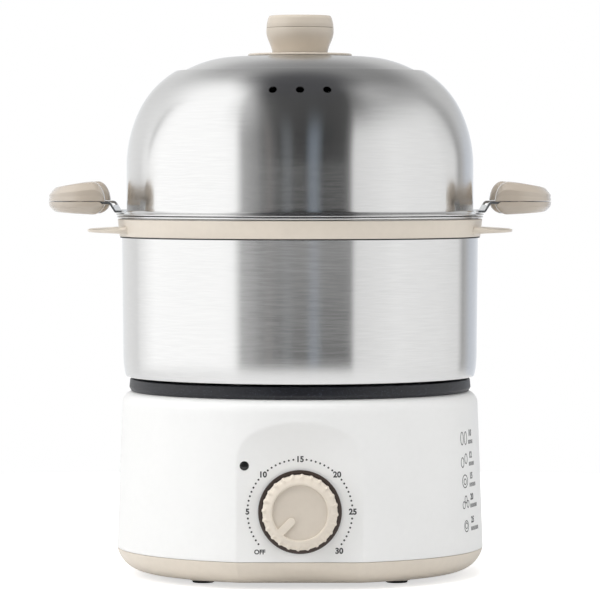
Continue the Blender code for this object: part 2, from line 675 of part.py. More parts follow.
def build_heating_dish():
    neck = HOUSING_OPENING_RADIUS - GAP
    groove = (GASKET_RADIUS - GAP, GASKET_RADIUS + GASKET_WIDTH + GAP)
    groove_top = DISH_BOTTOM + GASKET_HEIGHT + GAP
    rim_top = DISH_RIM_RADIUS - DISH_RIM_TAPER
    rim_inside = DISH_RIM_RADIUS - DISH_RIM_WALL
    ledge = DISH_BOTTOM + DISH_LEDGE_HEIGHT
    ledge_inside = rim_inside - DISH_RIM_TAPER - DISH_LEDGE_WIDTH
    floor = DISH_UNDERSIDE + DISH_FLOOR_WALL
    floor_radius = DISH_FLOOR_RADIUS - DISH_WALL
    outline = [
        (0, DISH_UNDERSIDE),
        (DISH_FLOOR_RADIUS, DISH_UNDERSIDE),
        (DISH_FLOOR_RADIUS + DISH_FLOOR_ROUND, DISH_UNDERSIDE + DISH_FLOOR_ROUND),
        (neck, DISH_BOTTOM - DISH_NECK_HEIGHT),
        (neck, DISH_BOTTOM),
        (groove[0], DISH_BOTTOM),
        (groove[0], groove_top),
        (groove[1], groove_top),
        (groove[1], DISH_BOTTOM),
        (DISH_RIM_RADIUS, DISH_BOTTOM),
        (rim_top, DISH_TOP - DISH_RIM_CHAMFER),
        (rim_top - DISH_RIM_CHAMFER, DISH_TOP),
        (rim_inside + DISH_RIM_CHAMFER, DISH_TOP),
        (rim_inside, DISH_TOP - DISH_RIM_CHAMFER),
        (rim_inside - DISH_RIM_TAPER, ledge),
        (ledge_inside, ledge),
        (floor_radius + DISH_FLOOR_ROUND, floor + DISH_FLOOR_ROUND),
        (floor_radius, floor),
        (0, floor),
    ]
    dish = new_object("heater_dish", turned(outline, SHELL_SIDES), BLACK_COATING)

    bosses = bmesh.new()
    holes = bmesh.new()
    boss_low = DISH_UNDERSIDE - GAP - THERMOSTAT_CAP_HEIGHT
    for side in (-1, 1):
        spot = Matrix.Translation((side * DISH_BOSS_PITCH, 0, 0))
        add_turned(bosses, rod(DISH_BOSS_RADIUS, boss_low, DISH_UNDERSIDE + BITE), BOSS_SIDES, spot)
        add_turned(holes, rod(SCREW_RADIUS + GAP, boss_low - OVERRUN, DISH_UNDERSIDE), SCREW_SIDES, spot)
    blind_top = HOUSING_TOP - SHELL_WALL + DISH_SCREW_LENGTH + GAP
    for index, place in enumerate(dish_screw_places()):
        hole = rod(SCREW_RADIUS + GAP, DISH_BOTTOM - OVERRUN, blind_top)
        add_turned(holes, hole, SCREW_SIDES, Matrix.Translation(place))
        seat = place + Vector((0, 0, HOUSING_TOP - SHELL_WALL - GAP))
        screw("dish_screw_" + "abc"[index], DISH_SCREW_LENGTH, location=seat)
    combine(dish, new_object("dish_bosses", bosses), "UNION")
    combine(dish, new_object("dish_holes", holes))

    gasket_top = DISH_BOTTOM + GASKET_HEIGHT
    gasket = ring_outline(GASKET_RADIUS, GASKET_RADIUS + GASKET_WIDTH, DISH_BOTTOM, gasket_top)
    new_object("dish_gasket", turned(gasket, SHELL_SIDES), SILICONE)


def build_heater():
    """Tubular element under the dish, open at the rear where its pins turn down."""
    level = DISH_UNDERSIDE - GAP - ELEMENT_TUBE_RADIUS
    half_open = ELEMENT_OPEN_ANGLE / 2
    steps = 22
    points = []
    for step in range(steps + 1):
        angle = math.pi / 2 + half_open + (math.tau - ELEMENT_OPEN_ANGLE) * step / steps
        points.append(around(ELEMENT_RADIUS, angle, level))
    down = Vector((0, 0, -ELEMENT_PIN_DROP))
    bend = Vector((0, 0, -ELEMENT_TUBE_RADIUS))
    lead = 2 * ELEMENT_TUBE_RADIUS
    ends = []
    for point, beside in ((points[0], points[1]), (points[-1], points[-2])):
        along = (point - beside).normalized()
        turn = point + along * lead + bend
        ends.append((turn, turn + along * WELD + down))
    route = [ends[0][1], ends[0][0]] + points + [ends[1][0], ends[1][1]]
    curve = bpy.data.curves.new("heating_element", "CURVE")
    curve.dimensions = "3D"
    curve.bevel_depth = ELEMENT_TUBE_RADIUS
    curve.bevel_resolution = 1
    curve.use_fill_caps = True
    spline = curve.splines.new("POLY")
    spline.points.add(len(route) - 1)
    for place, point in zip(spline.points, route):
        place.co = (*point, 1)
    item = bpy.data.objects.new("heating_element", curve)
    bpy.context.scene.collection.objects.link(item)
    curve.materials.append(finish("heating_element", ZINC))

    cap_top = DISH_UNDERSIDE - GAP
    cap_low = cap_top - THERMOSTAT_CAP_HEIGHT
    body_low = cap_low - THERMOSTAT_BODY_HEIGHT
    outline = [(0, body_low), (THERMOSTAT_BODY_RADIUS, body_low), (THERMOSTAT_BODY_RADIUS, cap_low)]
    outline += [(THERMOSTAT_CAP_RADIUS, cap_low), (THERMOSTAT_CAP_RADIUS, cap_top), (0, cap_top)]
    new_object("thermostat", turned(outline, DISC_SIDES), PHENOLIC)

    strip_top = cap_low - GAP
    strip = prism(
        rounded_box(BRACKET_HALF_LENGTH, BRACKET_HALF_WIDTH, BRACKET_HALF_WIDTH / 2, 2),
        strip_top - BRACKET_SHEET,
        strip_top,
    )
    bracket = new_object("thermostat_bracket", strip, ZINC)
    holes = bmesh.new()
    low = strip_top - BRACKET_SHEET - OVERRUN
    add_turned(holes, rod(THERMOSTAT_BODY_RADIUS + GAP, low, strip_top + OVERRUN), DISC_SIDES)
    for side, name in ((-1, "left"), (1, "right")):
        place = Vector((side * DISH_BOSS_PITCH, 0, 0))
        hole = rod(SCREW_RADIUS + GAP, low, strip_top + OVERRUN)
        add_turned(holes, hole, SCREW_SIDES, Matrix.Translation(place))
        seat = place + Vector((0, 0, strip_top - BRACKET_SHEET - GAP))
        screw("bracket_screw_" + name, BRACKET_SCREW_LENGTH, location=seat)
    combine(bracket, new_object("bracket_holes", holes))


def build_timer(housing):
    dial = panel_empty("dial_axis", 0, DIAL_CENTRE_HEIGHT)
    bezel_front = GAP + BEZEL_THICKNESS
    back = -SHELL_WALL - GAP
    shaft_hole = SHAFT_RADIUS + 4 * GAP
    through = (back - TIMER_BORE_DEPTH, bezel_front + OVERRUN)
    screw_sides = [Matrix.Translation((0, side * TIMER_SCREW_OFFSET, 0)) for side in (-1, 1)]

    panel_holes = bmesh.new()
    add_turned(panel_holes, rod(shaft_hole, *through), BOSS_SIDES)
    for spot in screw_sides:
        add_turned(panel_holes, rod(SCREW_RADIUS + GAP, *through), SCREW_SIDES, spot)
    dial_holes = new_object("dial_holes", panel_holes, parent=dial)
    combine(housing, dial_holes)

    disc = rod(BEZEL_RADIUS, GAP, bezel_front)
    bezel = new_object("dial_bezel", turned(disc, SHELL_SIDES), DARK_PLASTIC, dial)
    combine(bezel, dial_holes)

    case = prism(
        rounded_box(TIMER_HALF_WIDTH, TIMER_HALF_HEIGHT, TIMER_CORNER_ROUND, 2), back - TIMER_DEPTH, back
    )
    body = new_object("timer_body", case, NYLON, dial)
    bores = bmesh.new()
    add_turned(bores, rod(SHAFT_RADIUS + 2 * GAP, through[0], back + OVERRUN), DISC_SIDES)
    blind = bezel_front + GAP - TIMER_SCREW_LENGTH - GAP
    for spot in screw_sides:
        add_turned(bores, rod(SCREW_RADIUS + GAP, blind, back + OVERRUN), SCREW_SIDES, spot)
    combine(body, new_object("timer_bores", bores, parent=dial))
    for side, name in ((1, "upper"), (-1, "lower")):
        seat = (0, side * TIMER_SCREW_OFFSET, bezel_front + GAP)
        screw("timer_screw_" + name, TIMER_SCREW_LENGTH, dial, seat, (math.pi, 0, 0))

    shaft = d_outline(SHAFT_RADIUS, SHAFT_FLAT, DISC_SIDES)
    shaft_low = through[0] + GAP
    bm = bmesh.new()
    add_prism(bm, shaft, shaft_low, SHAFT_OVERHANG)
    new_object("timer_shaft", bm, ZINC, dial)
    build_timer_knob(dial)


def build_timer_knob(dial):
    """Fluted knob with a flat land, a sunk face and a raised pointer bar."""
    front = KNOB_PROTRUSION
    back = GAP + BEZEL_THICKNESS + KNOB_BACK_CLEARANCE
    count = KNOB_FLUTES * KNOB_POINTS_PER_FLUTE
    skirt_inside = KNOB_RADIUS - KNOB_FLUTE_DEPTH - KNOB_WALL
    ceiling = front - KNOB_FRONT_WALL - KNOB_RECESS_DEPTH

    def fluted(radius, depth, height):
        ring = []
        for index in range(count):
            angle = math.tau * index / count
            scallop = (1 - math.cos(KNOB_FLUTES * angle)) / 2
            ring.append(around(radius - depth * scallop, angle, height))
        return ring

    edge = KNOB_RADIUS - KNOB_EDGE_INSET
    rings = [
        fluted(KNOB_RADIUS, KNOB_FLUTE_DEPTH, back),
        fluted(KNOB_RADIUS, KNOB_FLUTE_DEPTH, front - 2 * KNOB_EDGE_DROP),
        fluted(edge, KNOB_FLUTE_DEPTH / 2, front - KNOB_EDGE_DROP / 2),
        fluted(KNOB_LAND_RADIUS, 0, front),
    ]
    bm = bmesh.new()
    add_loft(bm, rings)
    knob = new_object("timer_knob", bm, BEIGE, dial)

    skirt = turned(rod(skirt_inside, back - OVERRUN, ceiling), SHELL_SIDES)
    combine(knob, new_object("knob_skirt_hollow", skirt, parent=dial))
    floor = front - KNOB_RECESS_DEPTH
    recess = turned(rod(KNOB_RECESS_RADIUS, floor, front + OVERRUN), SHELL_SIDES)
    combine(knob, new_object("knob_recess", recess, parent=dial))
    pointer = arc((-POINTER_TAIL, 0), POINTER_HALF_WIDTH, math.pi / 2, math.pi * 3 / 2, 4)
    tip = KNOB_RECESS_RADIUS + BITE
    pointer += [(tip, -POINTER_HALF_WIDTH), (tip, POINTER_HALF_WIDTH)]
    added = bmesh.new()
    turn = Matrix.Rotation(POINTER_REST_ANGLE, 4, "Z")
    add_prism(added, pointer, floor - BITE, front - WELD, turn)
    add_turned(added, rod(KNOB_HUB_RADIUS, back, ceiling + BITE), DISC_SIDES)
    combine(knob, new_object("knob_additions", added, parent=dial), "UNION")
    bore = d_outline(SHAFT_RADIUS + GAP, SHAFT_FLAT + GAP, DISC_SIDES)
    cut = prism(bore, back - OVERRUN, SHAFT_OVERHANG + GAP)
    combine(knob, new_object("knob_bore", cut, parent=dial))


def build_lamp(housing):
    axis = panel_empty("lamp_axis", -LAMP_OFFSET, LAMP_HEIGHT)
    back = -SHELL_WALL - GAP
    flange_low = back - LAMP_FLANGE_HEIGHT
    crown = [
        (LAMP_LENS_RADIUS, 0),
        (LAMP_LENS_RADIUS * math.cos(math.pi / 4), LAMP_LENS_CROWN * math.sin(math.pi / 4)),
        (0, LAMP_LENS_CROWN),
    ]
    lens = [(0, flange_low), (LAMP_FLANGE_RADIUS, flange_low), (LAMP_FLANGE_RADIUS, back)]
    lens += [(LAMP_LENS_RADIUS, back)] + crown
    new_object("lamp_lens", turned(lens, BOSS_SIDES), DARK_PLASTIC, axis)
    body = rod(LAMP_FLANGE_RADIUS, flange_low - GAP - LAMP_BODY_LENGTH, flange_low - GAP)
    new_object("lamp_body", turned(body, BOSS_SIDES), NYLON, axis)
    hole = turned(rod(LAMP_LENS_RADIUS + GAP, back - OVERRUN, OVERRUN), BOSS_SIDES)
    combine(housing, new_object("lamp_hole", hole, parent=axis))


def build_cord_gland(housing):
    level = HOUSING_BOTTOM + GLAND_HEIGHT
    place = (0, housing_radius(level), level)
    axis = new_empty("gland_axis", place, (housing_draft() - math.pi / 2, 0, 0))
    clip = -SHELL_WALL - GLAND_CLIP_CLEARANCE
    outline = [
        (0, clip - GLAND_CLIP_LENGTH),
        (GLAND_NECK_RADIUS, clip - GLAND_CLIP_LENGTH),
        (GLAND_CLIP_RADIUS, clip),
        (GLAND_NECK_RADIUS, clip),
        (GLAND_NECK_RADIUS, GAP),
        (GLAND_RADIUS, GAP),
        (GLAND_TIP_RADIUS, GLAND_REACH),
        (0, GLAND_REACH),
    ]
    gland = new_object("cord_gland", turned(outline, DISC_SIDES), DARK_PLASTIC, axis)
    slot = rounded_box(
        GLAND_SLOT_HALF_WIDTH, GLAND_SLOT_HALF_HEIGHT, GLAND_SLOT_HALF_HEIGHT - WELD, 2
    )
    cut = prism(slot, clip - GLAND_CLIP_LENGTH - OVERRUN, GLAND_REACH + OVERRUN)
    combine(gland, new_object("gland_slot", cut, parent=axis))
    hole = turned(rod(GLAND_NECK_RADIUS + GAP, clip - OVERRUN, OVERRUN), DISC_SIDES)
    combine(housing, new_object("gland_hole", hole, parent=axis))


def build_terminal_block():
    low = TRAY_FLOOR + GAP
    case = prism(
        box_outline(-TERMINAL_HALF_LENGTH, TERMINAL_HALF_LENGTH, -TERMINAL_HALF_WIDTH, TERMINAL_HALF_WIDTH),
        low,
        low + TERMINAL_HEIGHT,
    )
    place = (0, TERMINAL_POSITION_Y, 0)
    block = new_object("terminal_block", case, NYLON, location=place)
    wells = bmesh.new()
    top = low + TERMINAL_HEIGHT
    for side in (-1, 0, 1):
        well = rod(TERMINAL_WELL_RADIUS, top - TERMINAL_WELL_DEPTH, top + OVERRUN)
        add_turned(wells, well, BOSS_SIDES, Matrix.Translation((side * TERMINAL_PITCH, 0, 0)))
    combine(block, new_object("terminal_wells", wells, location=place))


def build_pot():
    """Deep-drawn wall with a rolled rim, stepped down inside the dish's rim."""
    corner = (POT_WALL_FOOT_RADIUS - POT_CORNER_ROUND, POT_BOTTOM + POT_CORNER_ROUND)
    step_foot = POT_STEP_RADIUS - POT_STEP_TAPER
    rim_low = POT_TOP - POT_RIM_HEIGHT
    inside = POT_WALL_RADIUS - POT_SHEET
    bead = POT_RIM_HEIGHT / 2
    outline = [(POT_OPENING_RADIUS, POT_FLOOR), (step_foot, POT_FLOOR), (POT_STEP_RADIUS, POT_BOTTOM)]
    outline += arc(corner, POT_CORNER_ROUND, -math.pi / 2, 0, 3)
    outline += [
        (POT_WALL_RADIUS, rim_low),
        (POT_RIM_RADIUS - bead / 2, rim_low),
        (POT_RIM_RADIUS, rim_low + bead),
        (POT_RIM_RADIUS - bead / 2, POT_TOP),
        (inside + bead / 2, POT_TOP),
        (inside, rim_low + bead),
    ]
    outline += arc(corner, POT_CORNER_ROUND - POT_SHEET, 0, -math.pi / 2, 3)
    outline += [
        (POT_STEP_RADIUS - POT_SHEET / 2, POT_BOTTOM + POT_SHEET),
        (step_foot - POT_SHEET / 2, POT_FLOOR + POT_SHEET),
        (POT_OPENING_RADIUS, POT_FLOOR + POT_SHEET),
    ]
    new_object("pot_shell", turned(outline, SHELL_SIDES), STEEL)

    low = COLLAR_TOP - COLLAR_HEIGHT
    bore = POT_WALL_RADIUS + GAP
    band = [(bore, low), (bore + COLLAR_FOOT_WALL, low)]
    band += [(bore + COLLAR_TOP_WALL, COLLAR_TOP), (bore, COLLAR_TOP)]
    collar = new_object("pot_collar", turned(band, SHELL_SIDES), BEIGE)
    core = rod(bore + COLLAR_FOOT_WALL / 2, low - OVERRUN, POT_TOP)
    trim = new_object("ear_trim", turned(core, SHELL_SIDES))
    for name, turn in (("ear_right", 0), ("ear_left", math.pi)):
        ear = new_object(name, ear_mesh(low), rotation=(0, 0, turn))
        combine(ear, trim)
        combine(collar, ear, "UNION")


def half_loop(start, reach, half_width, steps):
    """Plan of a loop that leaves the wall, turns round and comes back, as a superellipse."""
    power = LOOP_SQUARENESS_SHARE
    points = []
    for step in range(steps + 1):
        angle = math.pi * (step / steps - 1 / 2)
        out = max(math.cos(angle), 0) ** power
        side = math.copysign(abs(math.sin(angle)) ** power, angle)
        points.append(Vector((start + reach * out, half_width * side, 0)))
    return points


def loop_normals(path):
    """Unit vectors in plan, square to the path and pointing out of the loop."""
    normals = []
    for index, point in enumerate(path):
        before = path[max(index - 1, 0)]
        after = path[min(index + 1, len(path) - 1)]
        along = after - before
        if index in (0, len(path) - 1):
            along = Vector((1, 0, 0)) if index == 0 else Vector((-1, 0, 0))
        normals.append(Vector((along.y, -along.x, 0)).normalized())
    return normals


def ear_mesh(collar_low):
    """Flat loop handle that thins from its roots to its tip."""
    reach = EAR_TIP_RADIUS - EAR_ARM_WIDTH / 2 - EAR_START_RADIUS
    path = half_loop(EAR_START_RADIUS, reach, EAR_HALF_WIDTH - EAR_ARM_WIDTH / 2, 10)
    middle = collar_low + EAR_RISE
    rings = []
    for point, normal in zip(path, loop_normals(path)):
        share = (point.x - EAR_START_RADIUS) / reach
        half = (EAR_ROOT_HEIGHT + (EAR_TIP_HEIGHT - EAR_ROOT_HEIGHT) * share) / 2
        offsets = ((-1, -1), (1, -1), (1, 1), (-1, 1))
        ring = []
        for side, level in offsets:
            spot = point + normal * side * EAR_ARM_WIDTH / 2
            ring.append((spot.x, spot.y, middle + level * half))
        rings.append(ring)
    bm = bmesh.new()
    add_loft(bm, rings)
    return bm


def build_steam_tray():
    low = POT_FLOOR + POT_SHEET + GAP
    top = low + STEAM_TRAY_SHEET
    outline = [
        (0, low),
        (STEAM_TRAY_RADIUS, low),
        (STEAM_TRAY_RADIUS + STEAM_TRAY_LIP, low + STEAM_TRAY_LIP),
        (STEAM_TRAY_RADIUS + STEAM_TRAY_LIP - STEAM_TRAY_SHEET, top + STEAM_TRAY_LIP),
        (STEAM_TRAY_RADIUS - STEAM_TRAY_SHEET / 2, top),
        (0, top),
    ]
    tray = new_object("steam_tray", turned(outline, SHELL_SIDES), STEEL)
    holes = bmesh.new()
    for ring in range(1, STEAM_RING_COUNT + 1):
        count = STEAM_HOLES_PER_RING * ring
        for index in range(count):
            place = around(STEAM_RING_PITCH * ring, math.tau * index / count)
            hole = rod(STEAM_HOLE_RADIUS, low - OVERRUN, top + OVERRUN)
            add_turned(holes, hole, SCREW_SIDES, Matrix.Translation(place))
    combine(tray, new_object("steam_holes", holes))


def dome_profile(inset, shoulder_steps, crown_steps, cap_steps):
    """Outline of the dome from its wall up to the centre, moved in by a sheet thickness."""
    shoulder = (DOME_RADIUS - DOME_SHOULDER_ROUND, FLANGE_TOP + DOME_WALL_HEIGHT - LID_FLANGE_HEIGHT)
    crown = crown_centre()
    points = arc(shoulder, DOME_SHOULDER_ROUND - inset, 0, DOME_SHOULDER_ANGLE, shoulder_steps)
    points += arc(crown, DOME_CROWN_ROUND - inset, DOME_SHOULDER_ANGLE, DOME_CROWN_ANGLE, crown_steps)[1:]
    ledge_outside = crown[0] + DOME_CROWN_ROUND * math.cos(DOME_CROWN_ANGLE)
    ledge = crown[1] + DOME_CROWN_ROUND * math.sin(DOME_CROWN_ANGLE) - inset
    ledge_inside = ledge_outside - DOME_LEDGE_WIDTH
    run = ledge_inside - DOME_CAP_FLAT_RADIUS
    cap_round = (run ** 2 + DOME_CAP_RISE ** 2) / (2 * DOME_CAP_RISE)
    cap_centre = (DOME_CAP_FLAT_RADIUS, ledge + DOME_CAP_RISE - cap_round)
    start = math.pi / 2 - math.asin(run / cap_round)
    points += arc(cap_centre, cap_round, start, math.pi / 2, cap_steps)
    return points + [(0, ledge + DOME_CAP_RISE)]


def crown_centre():
    """Centre of the crown arc, which runs on smoothly from the shoulder arc."""
    wall_top = FLANGE_TOP + DOME_WALL_HEIGHT - LID_FLANGE_HEIGHT
    shift = DOME_SHOULDER_ROUND - DOME_CROWN_ROUND
    r = DOME_RADIUS - DOME_SHOULDER_ROUND + shift * math.cos(DOME_SHOULDER_ANGLE)
    return (r, wall_top + shift * math.sin(DOME_SHOULDER_ANGLE))


def dome_top():
    return dome_profile(0, 1, 1, 1)[-1][1]


def build_lid():
    lip = POT_WALL_RADIUS - POT_SHEET - LID_LIP_CLEARANCE
    bead = LID_FLANGE_HEIGHT / 2
    lip_low = LID_BOTTOM - LID_LIP_DEPTH
    outline = [
        (lip - LID_SHEET, lip_low),
        (lip, lip_low),
        (lip, LID_BOTTOM),
        (LID_FLANGE_RADIUS - bead / 2, LID_BOTTOM),
        (LID_FLANGE_RADIUS, LID_BOTTOM + bead),
        (LID_FLANGE_RADIUS - bead / 2, FLANGE_TOP),
        (DOME_RADIUS + bead / 2, FLANGE_TOP),
        (DOME_RADIUS, FLANGE_TOP + bead),
    ]
    outline += dome_profile(0, 3, 4, 3) + dome_profile(LID_SHEET, 2, 3, 2)[::-1]
    outline += [(DOME_RADIUS - LID_SHEET, LID_BOTTOM)]
    lid = new_object("lid_shell", turned_open(outline, SHELL_SIDES), STEEL)
    holes = bmesh.new()
    centre = crown_centre()
    reach = DOME_CROWN_ROUND
    spread = (VENT_HOLE_COUNT - 1) / 2
    for index in range(VENT_HOLE_COUNT):
        turn = (index - spread) * VENT_HOLE_TURN
        radius = centre[0] + reach * math.cos(VENT_HOLE_ANGLE)
        height = centre[1] + reach * math.sin(VENT_HOLE_ANGLE)
        place = around(radius, turn - math.pi / 2, height)
        lean = Matrix.Rotation(turn, 4, "Z") @ Matrix.Rotation(math.pi / 2 - VENT_HOLE_ANGLE, 4, "X")
        add_turned(
            holes, rod(VENT_HOLE_RADIUS, -OVERRUN, OVERRUN), BOSS_SIDES, Matrix.Translation(place) @ lean
        )
    top = dome_top()
    add_turned(holes, rod(LID_SCREW_RADIUS + GAP, top - OVERRUN, top + OVERRUN), BOSS_SIDES)
    combine(lid, new_object("lid_holes", holes))


def turned_open(outline, sides):
    """Body whose outline meets the axis twice and stays open between those two points."""
    first, last = [index for index, point in enumerate(outline) if point[0] == 0]
    return turned(outline[last:] + outline[: first + 1], sides)


def build_lid_knob():
    top = dome_top()
    low = top + GAP
    disc_top = low + KNOB_BASE_HEIGHT
    bore = LID_SCREW_RADIUS + GAP
    disc = [
        (bore, low),
        (KNOB_BASE_RADIUS - KNOB_BASE_EDGE / 3, low),
        (KNOB_BASE_RADIUS, low + KNOB_BASE_EDGE / 3),
        (KNOB_BASE_RADIUS - KNOB_BASE_EDGE / 3, low + KNOB_BASE_EDGE),
        (KNOB_NECK_RADIUS, disc_top),
        (bore, disc_top),
    ]
    new_object("knob_base", turned(disc, ROUND_SIDES), BEIGE)

    foot = disc_top + GAP
    head = foot + KNOB_BODY_HEIGHT
    bulge = foot + KNOB_BODY_HEIGHT * KNOB_BULGE_RISE_SHARE
    swell = KNOB_BULGE_RADIUS - KNOB_NECK_RADIUS
    spigot = KNOB_SPIGOT_RADIUS + GAP
    screw_tip = top - LID_SHEET - WASHER_HEIGHT - 2 * GAP + LID_SCREW_LENGTH
    body = [(bore, foot), (KNOB_NECK_RADIUS, foot)]
    for step in range(1, 5):
        angle = math.pi * step / 4
        blend = (1 - math.cos(angle)) / 2
        body.append((KNOB_NECK_RADIUS + swell * blend, foot + (bulge - foot) * step / 4))
    body += [
        (KNOB_BULGE_RADIUS - KNOB_GROOVE / 2, (bulge + head) / 2),
        (KNOB_BULGE_RADIUS - KNOB_GROOVE, head - KNOB_GROOVE),
        (KNOB_BULGE_RADIUS - 2 * KNOB_GROOVE, head),
        (spigot, head),
        (spigot, head - KNOB_SPIGOT_DEPTH),
        (0, head - KNOB_SPIGOT_DEPTH),
        (0, screw_tip + GAP),
        (bore, screw_tip + GAP),
    ]
    new_object("lid_knob", turned_open(body, ROUND_SIDES), BEIGE)

    cap_low = head + GAP
    cap_top = cap_low + KNOB_CAP_HEIGHT
    rounding = (KNOB_CAP_TOP_RADIUS, cap_top - KNOB_CAP_ROUND)
    cap = [
        (0, cap_low - KNOB_SPIGOT_DEPTH),
        (KNOB_SPIGOT_RADIUS, cap_low - KNOB_SPIGOT_DEPTH),
        (KNOB_SPIGOT_RADIUS, cap_low),
        (KNOB_BULGE_RADIUS - 2 * KNOB_GROOVE, cap_low),
        (KNOB_BULGE_RADIUS - KNOB_GROOVE, cap_low + KNOB_GROOVE),
    ]
    cap += arc(rounding, KNOB_CAP_ROUND, math.pi / 8, math.pi / 2, 3) + [(0, cap_top)]
    new_object("knob_cap", turned(cap, ROUND_SIDES), BEIGE)

    washer_top = top - LID_SHEET - GAP
    washer = ring_outline(bore, WASHER_RADIUS, washer_top - WASHER_HEIGHT, washer_top)
    new_object("knob_washer", turned(washer, DISC_SIDES), SILICONE)
    seat = washer_top - WASHER_HEIGHT - GAP
    outline = stepped_rod(
        LID_SCREW_HEAD_RADIUS, seat - LID_SCREW_HEAD_HEIGHT, seat, LID_SCREW_RADIUS, seat + LID_SCREW_LENGTH
    )
    new_object("knob_screw", turned(outline, BOSS_SIDES), ZINC)


def handle_half(level):
    """One moulded half of a loop handle; level is 1 for the upper half, -1 for the lower."""
    start = HANDLE_INNER_RADIUS + HANDLE_NOSE_LENGTH
    reach = HANDLE_TIP_RADIUS - HANDLE_ARM_WIDTH / 2 - start
    path = half_loop(start, reach, HANDLE_HALF_WIDTH - HANDLE_ARM_WIDTH / 2, 10)
    normals = loop_normals(path)
    if level > 0:
        heights = (HANDLE_UPPER_INNER_HEIGHT, HANDLE_UPPER_TIP_HEIGHT)
    else:
        heights = (HANDLE_LOWER_INNER_HEIGHT - GAP, HANDLE_LOWER_TIP_HEIGHT - GAP)
    stations = []
    for back_share, size_share in HANDLE_NOSE_SHARES:
        shift = Vector((-HANDLE_NOSE_LENGTH * (1 - back_share), 0, 0))
        stations.append((path[0] + shift, normals[0], size_share))
    stations += [(point, normal, 1) for point, normal in zip(path, normals)]
    for back_share, size_share in reversed(HANDLE_NOSE_SHARES):
        shift = Vector((-HANDLE_NOSE_LENGTH * (1 - back_share), 0, 0))
        stations.append((path[-1] + shift, normals[-1], size_share))
    plane = SPLIT if level > 0 else SPLIT - GAP
    power = HANDLE_SQUARENESS_SHARE
    rings = []
    for point, normal, size in stations:
        share = max(0, (point.x - start) / reach)
        height = (heights[0] + (heights[1] - heights[0]) * share) * size
        ring = []
        for step in range(7):
            angle = math.pi * step / 6
            across = math.copysign(abs(math.cos(angle)) ** power, math.cos(angle))
            up = abs(math.sin(angle)) ** power if 0 < step < 6 else 0
            spot = point + normal * across * size * HANDLE_ARM_WIDTH / 2
            ring.append((spot.x, spot.y, plane + level * up * height))
        rings.append(ring)
    bm = bmesh.new()
    add_loft(bm, rings)
    return bm


def build_side_handle(side, turn):
    """Two-part loop handle, its forked bracket and two screws, on one side of the lid."""
    frame = new_empty("handle_frame_" + side, rotation=(0, 0, turn))
    prong_top = SPLIT - GAP
    prong_low = prong_top - BRACKET_PLATE
    prong_end = HANDLE_INNER_RADIUS + PRONG_REACH
    foot_low = FLANGE_TOP + GAP
    foot_end = LID_FLANGE_RADIUS
    foot_start = foot_end - BRACKET_FOOT_WIDTH
    run = foot_end + BRACKET_RUN
    profile = [
        (foot_start, foot_low),
        (foot_end, foot_low),
        (run, prong_low),
        (prong_end, prong_low),
        (prong_end, prong_top),
        (run - BRACKET_PLATE / 2, prong_top),
        (foot_end - BRACKET_PLATE / 2, foot_low + BRACKET_PLATE),
        (foot_start, foot_low + BRACKET_PLATE),
    ]
    width = PRONG_PITCH + PRONG_HALF_WIDTH
    upright = Matrix.Rotation(math.pi / 2, 4, "X")
    bm = bmesh.new()
    add_prism(bm, profile, -width, width, upright)
    bracket = new_object("handle_bracket_" + side, bm, STEEL, frame)

    fork = bmesh.new()
    inner = PRONG_PITCH - PRONG_HALF_WIDTH
    between = box_outline(foot_end, prong_end + OVERRUN, -inner, inner)
    add_prism(fork, between, foot_low - OVERRUN, SPLIT + OVERRUN)
    screw_x = HANDLE_INNER_RADIUS + HANDLE_SCREW_INSET
    seat = SPLIT - HANDLE_LOWER_INNER_HEIGHT + HANDLE_SCREW_WELL
    wells = bmesh.new()
    pockets = bmesh.new()
    bores = bmesh.new()
    well = stepped_rod(
        SCREW_HEAD_RADIUS + GAP, SPLIT - 2 * HANDLE_LOWER_INNER_HEIGHT, seat, SCREW_RADIUS + GAP, SPLIT
    )
    pocket_y = (PRONG_PITCH - PRONG_HALF_WIDTH - GAP, PRONG_PITCH + PRONG_HALF_WIDTH + GAP)
    prong_hole = rod(SCREW_RADIUS + GAP, prong_low - OVERRUN, prong_top + OVERRUN)
    upper_hole = rod(SCREW_RADIUS + GAP, SPLIT - OVERRUN, seat + HANDLE_SCREW_LENGTH + GAP)
    for name, way in (("front", -1), ("rear", 1)):
        spot = Matrix.Translation((screw_x, way * PRONG_PITCH, 0))
        add_turned(fork, prong_hole, SCREW_SIDES, spot)
        add_turned(wells, well, SCREW_SIDES, spot)
        add_turned(bores, upper_hole, SCREW_SIDES, spot)
        low_y, high_y = sorted((way * pocket_y[0], way * pocket_y[1]))
        pocket = box_outline(HANDLE_INNER_RADIUS - OVERRUN, prong_end + GAP, low_y, high_y)
        add_prism(pockets, pocket, prong_low - GAP, SPLIT + OVERRUN)
        place = (screw_x, way * PRONG_PITCH, seat - GAP)
        screw("handle_screw_" + side + "_" + name, HANDLE_SCREW_LENGTH, frame, place)
    combine(bracket, new_object("fork_cut_" + side, fork, parent=frame))
    upper = new_object("handle_upper_" + side, handle_half(1), BEIGE, frame)
    combine(upper, new_object("upper_bores_" + side, bores, parent=frame))
    lower = new_object("handle_lower_" + side, handle_half(-1), BEIGE, frame)
    combine(lower, new_object("prong_pockets_" + side, pockets, parent=frame))
    combine(lower, new_object("lower_wells_" + side, wells, parent=frame))


clear_scene()
build_base_tray()
housing_shell = build_housing()
build_heating_dish()
build_heater()
build_timer(housing_shell)
build_lamp(housing_shell)
build_cord_gland(housing_shell)
build_terminal_block()
build_pot()
build_steam_tray()
build_lid()
build_lid_knob()
build_side_handle("right", 0)
build_side_handle("left", math.pi)
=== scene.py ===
import json
import math

import bmesh
import bpy
from mathutils import Matrix, Vector


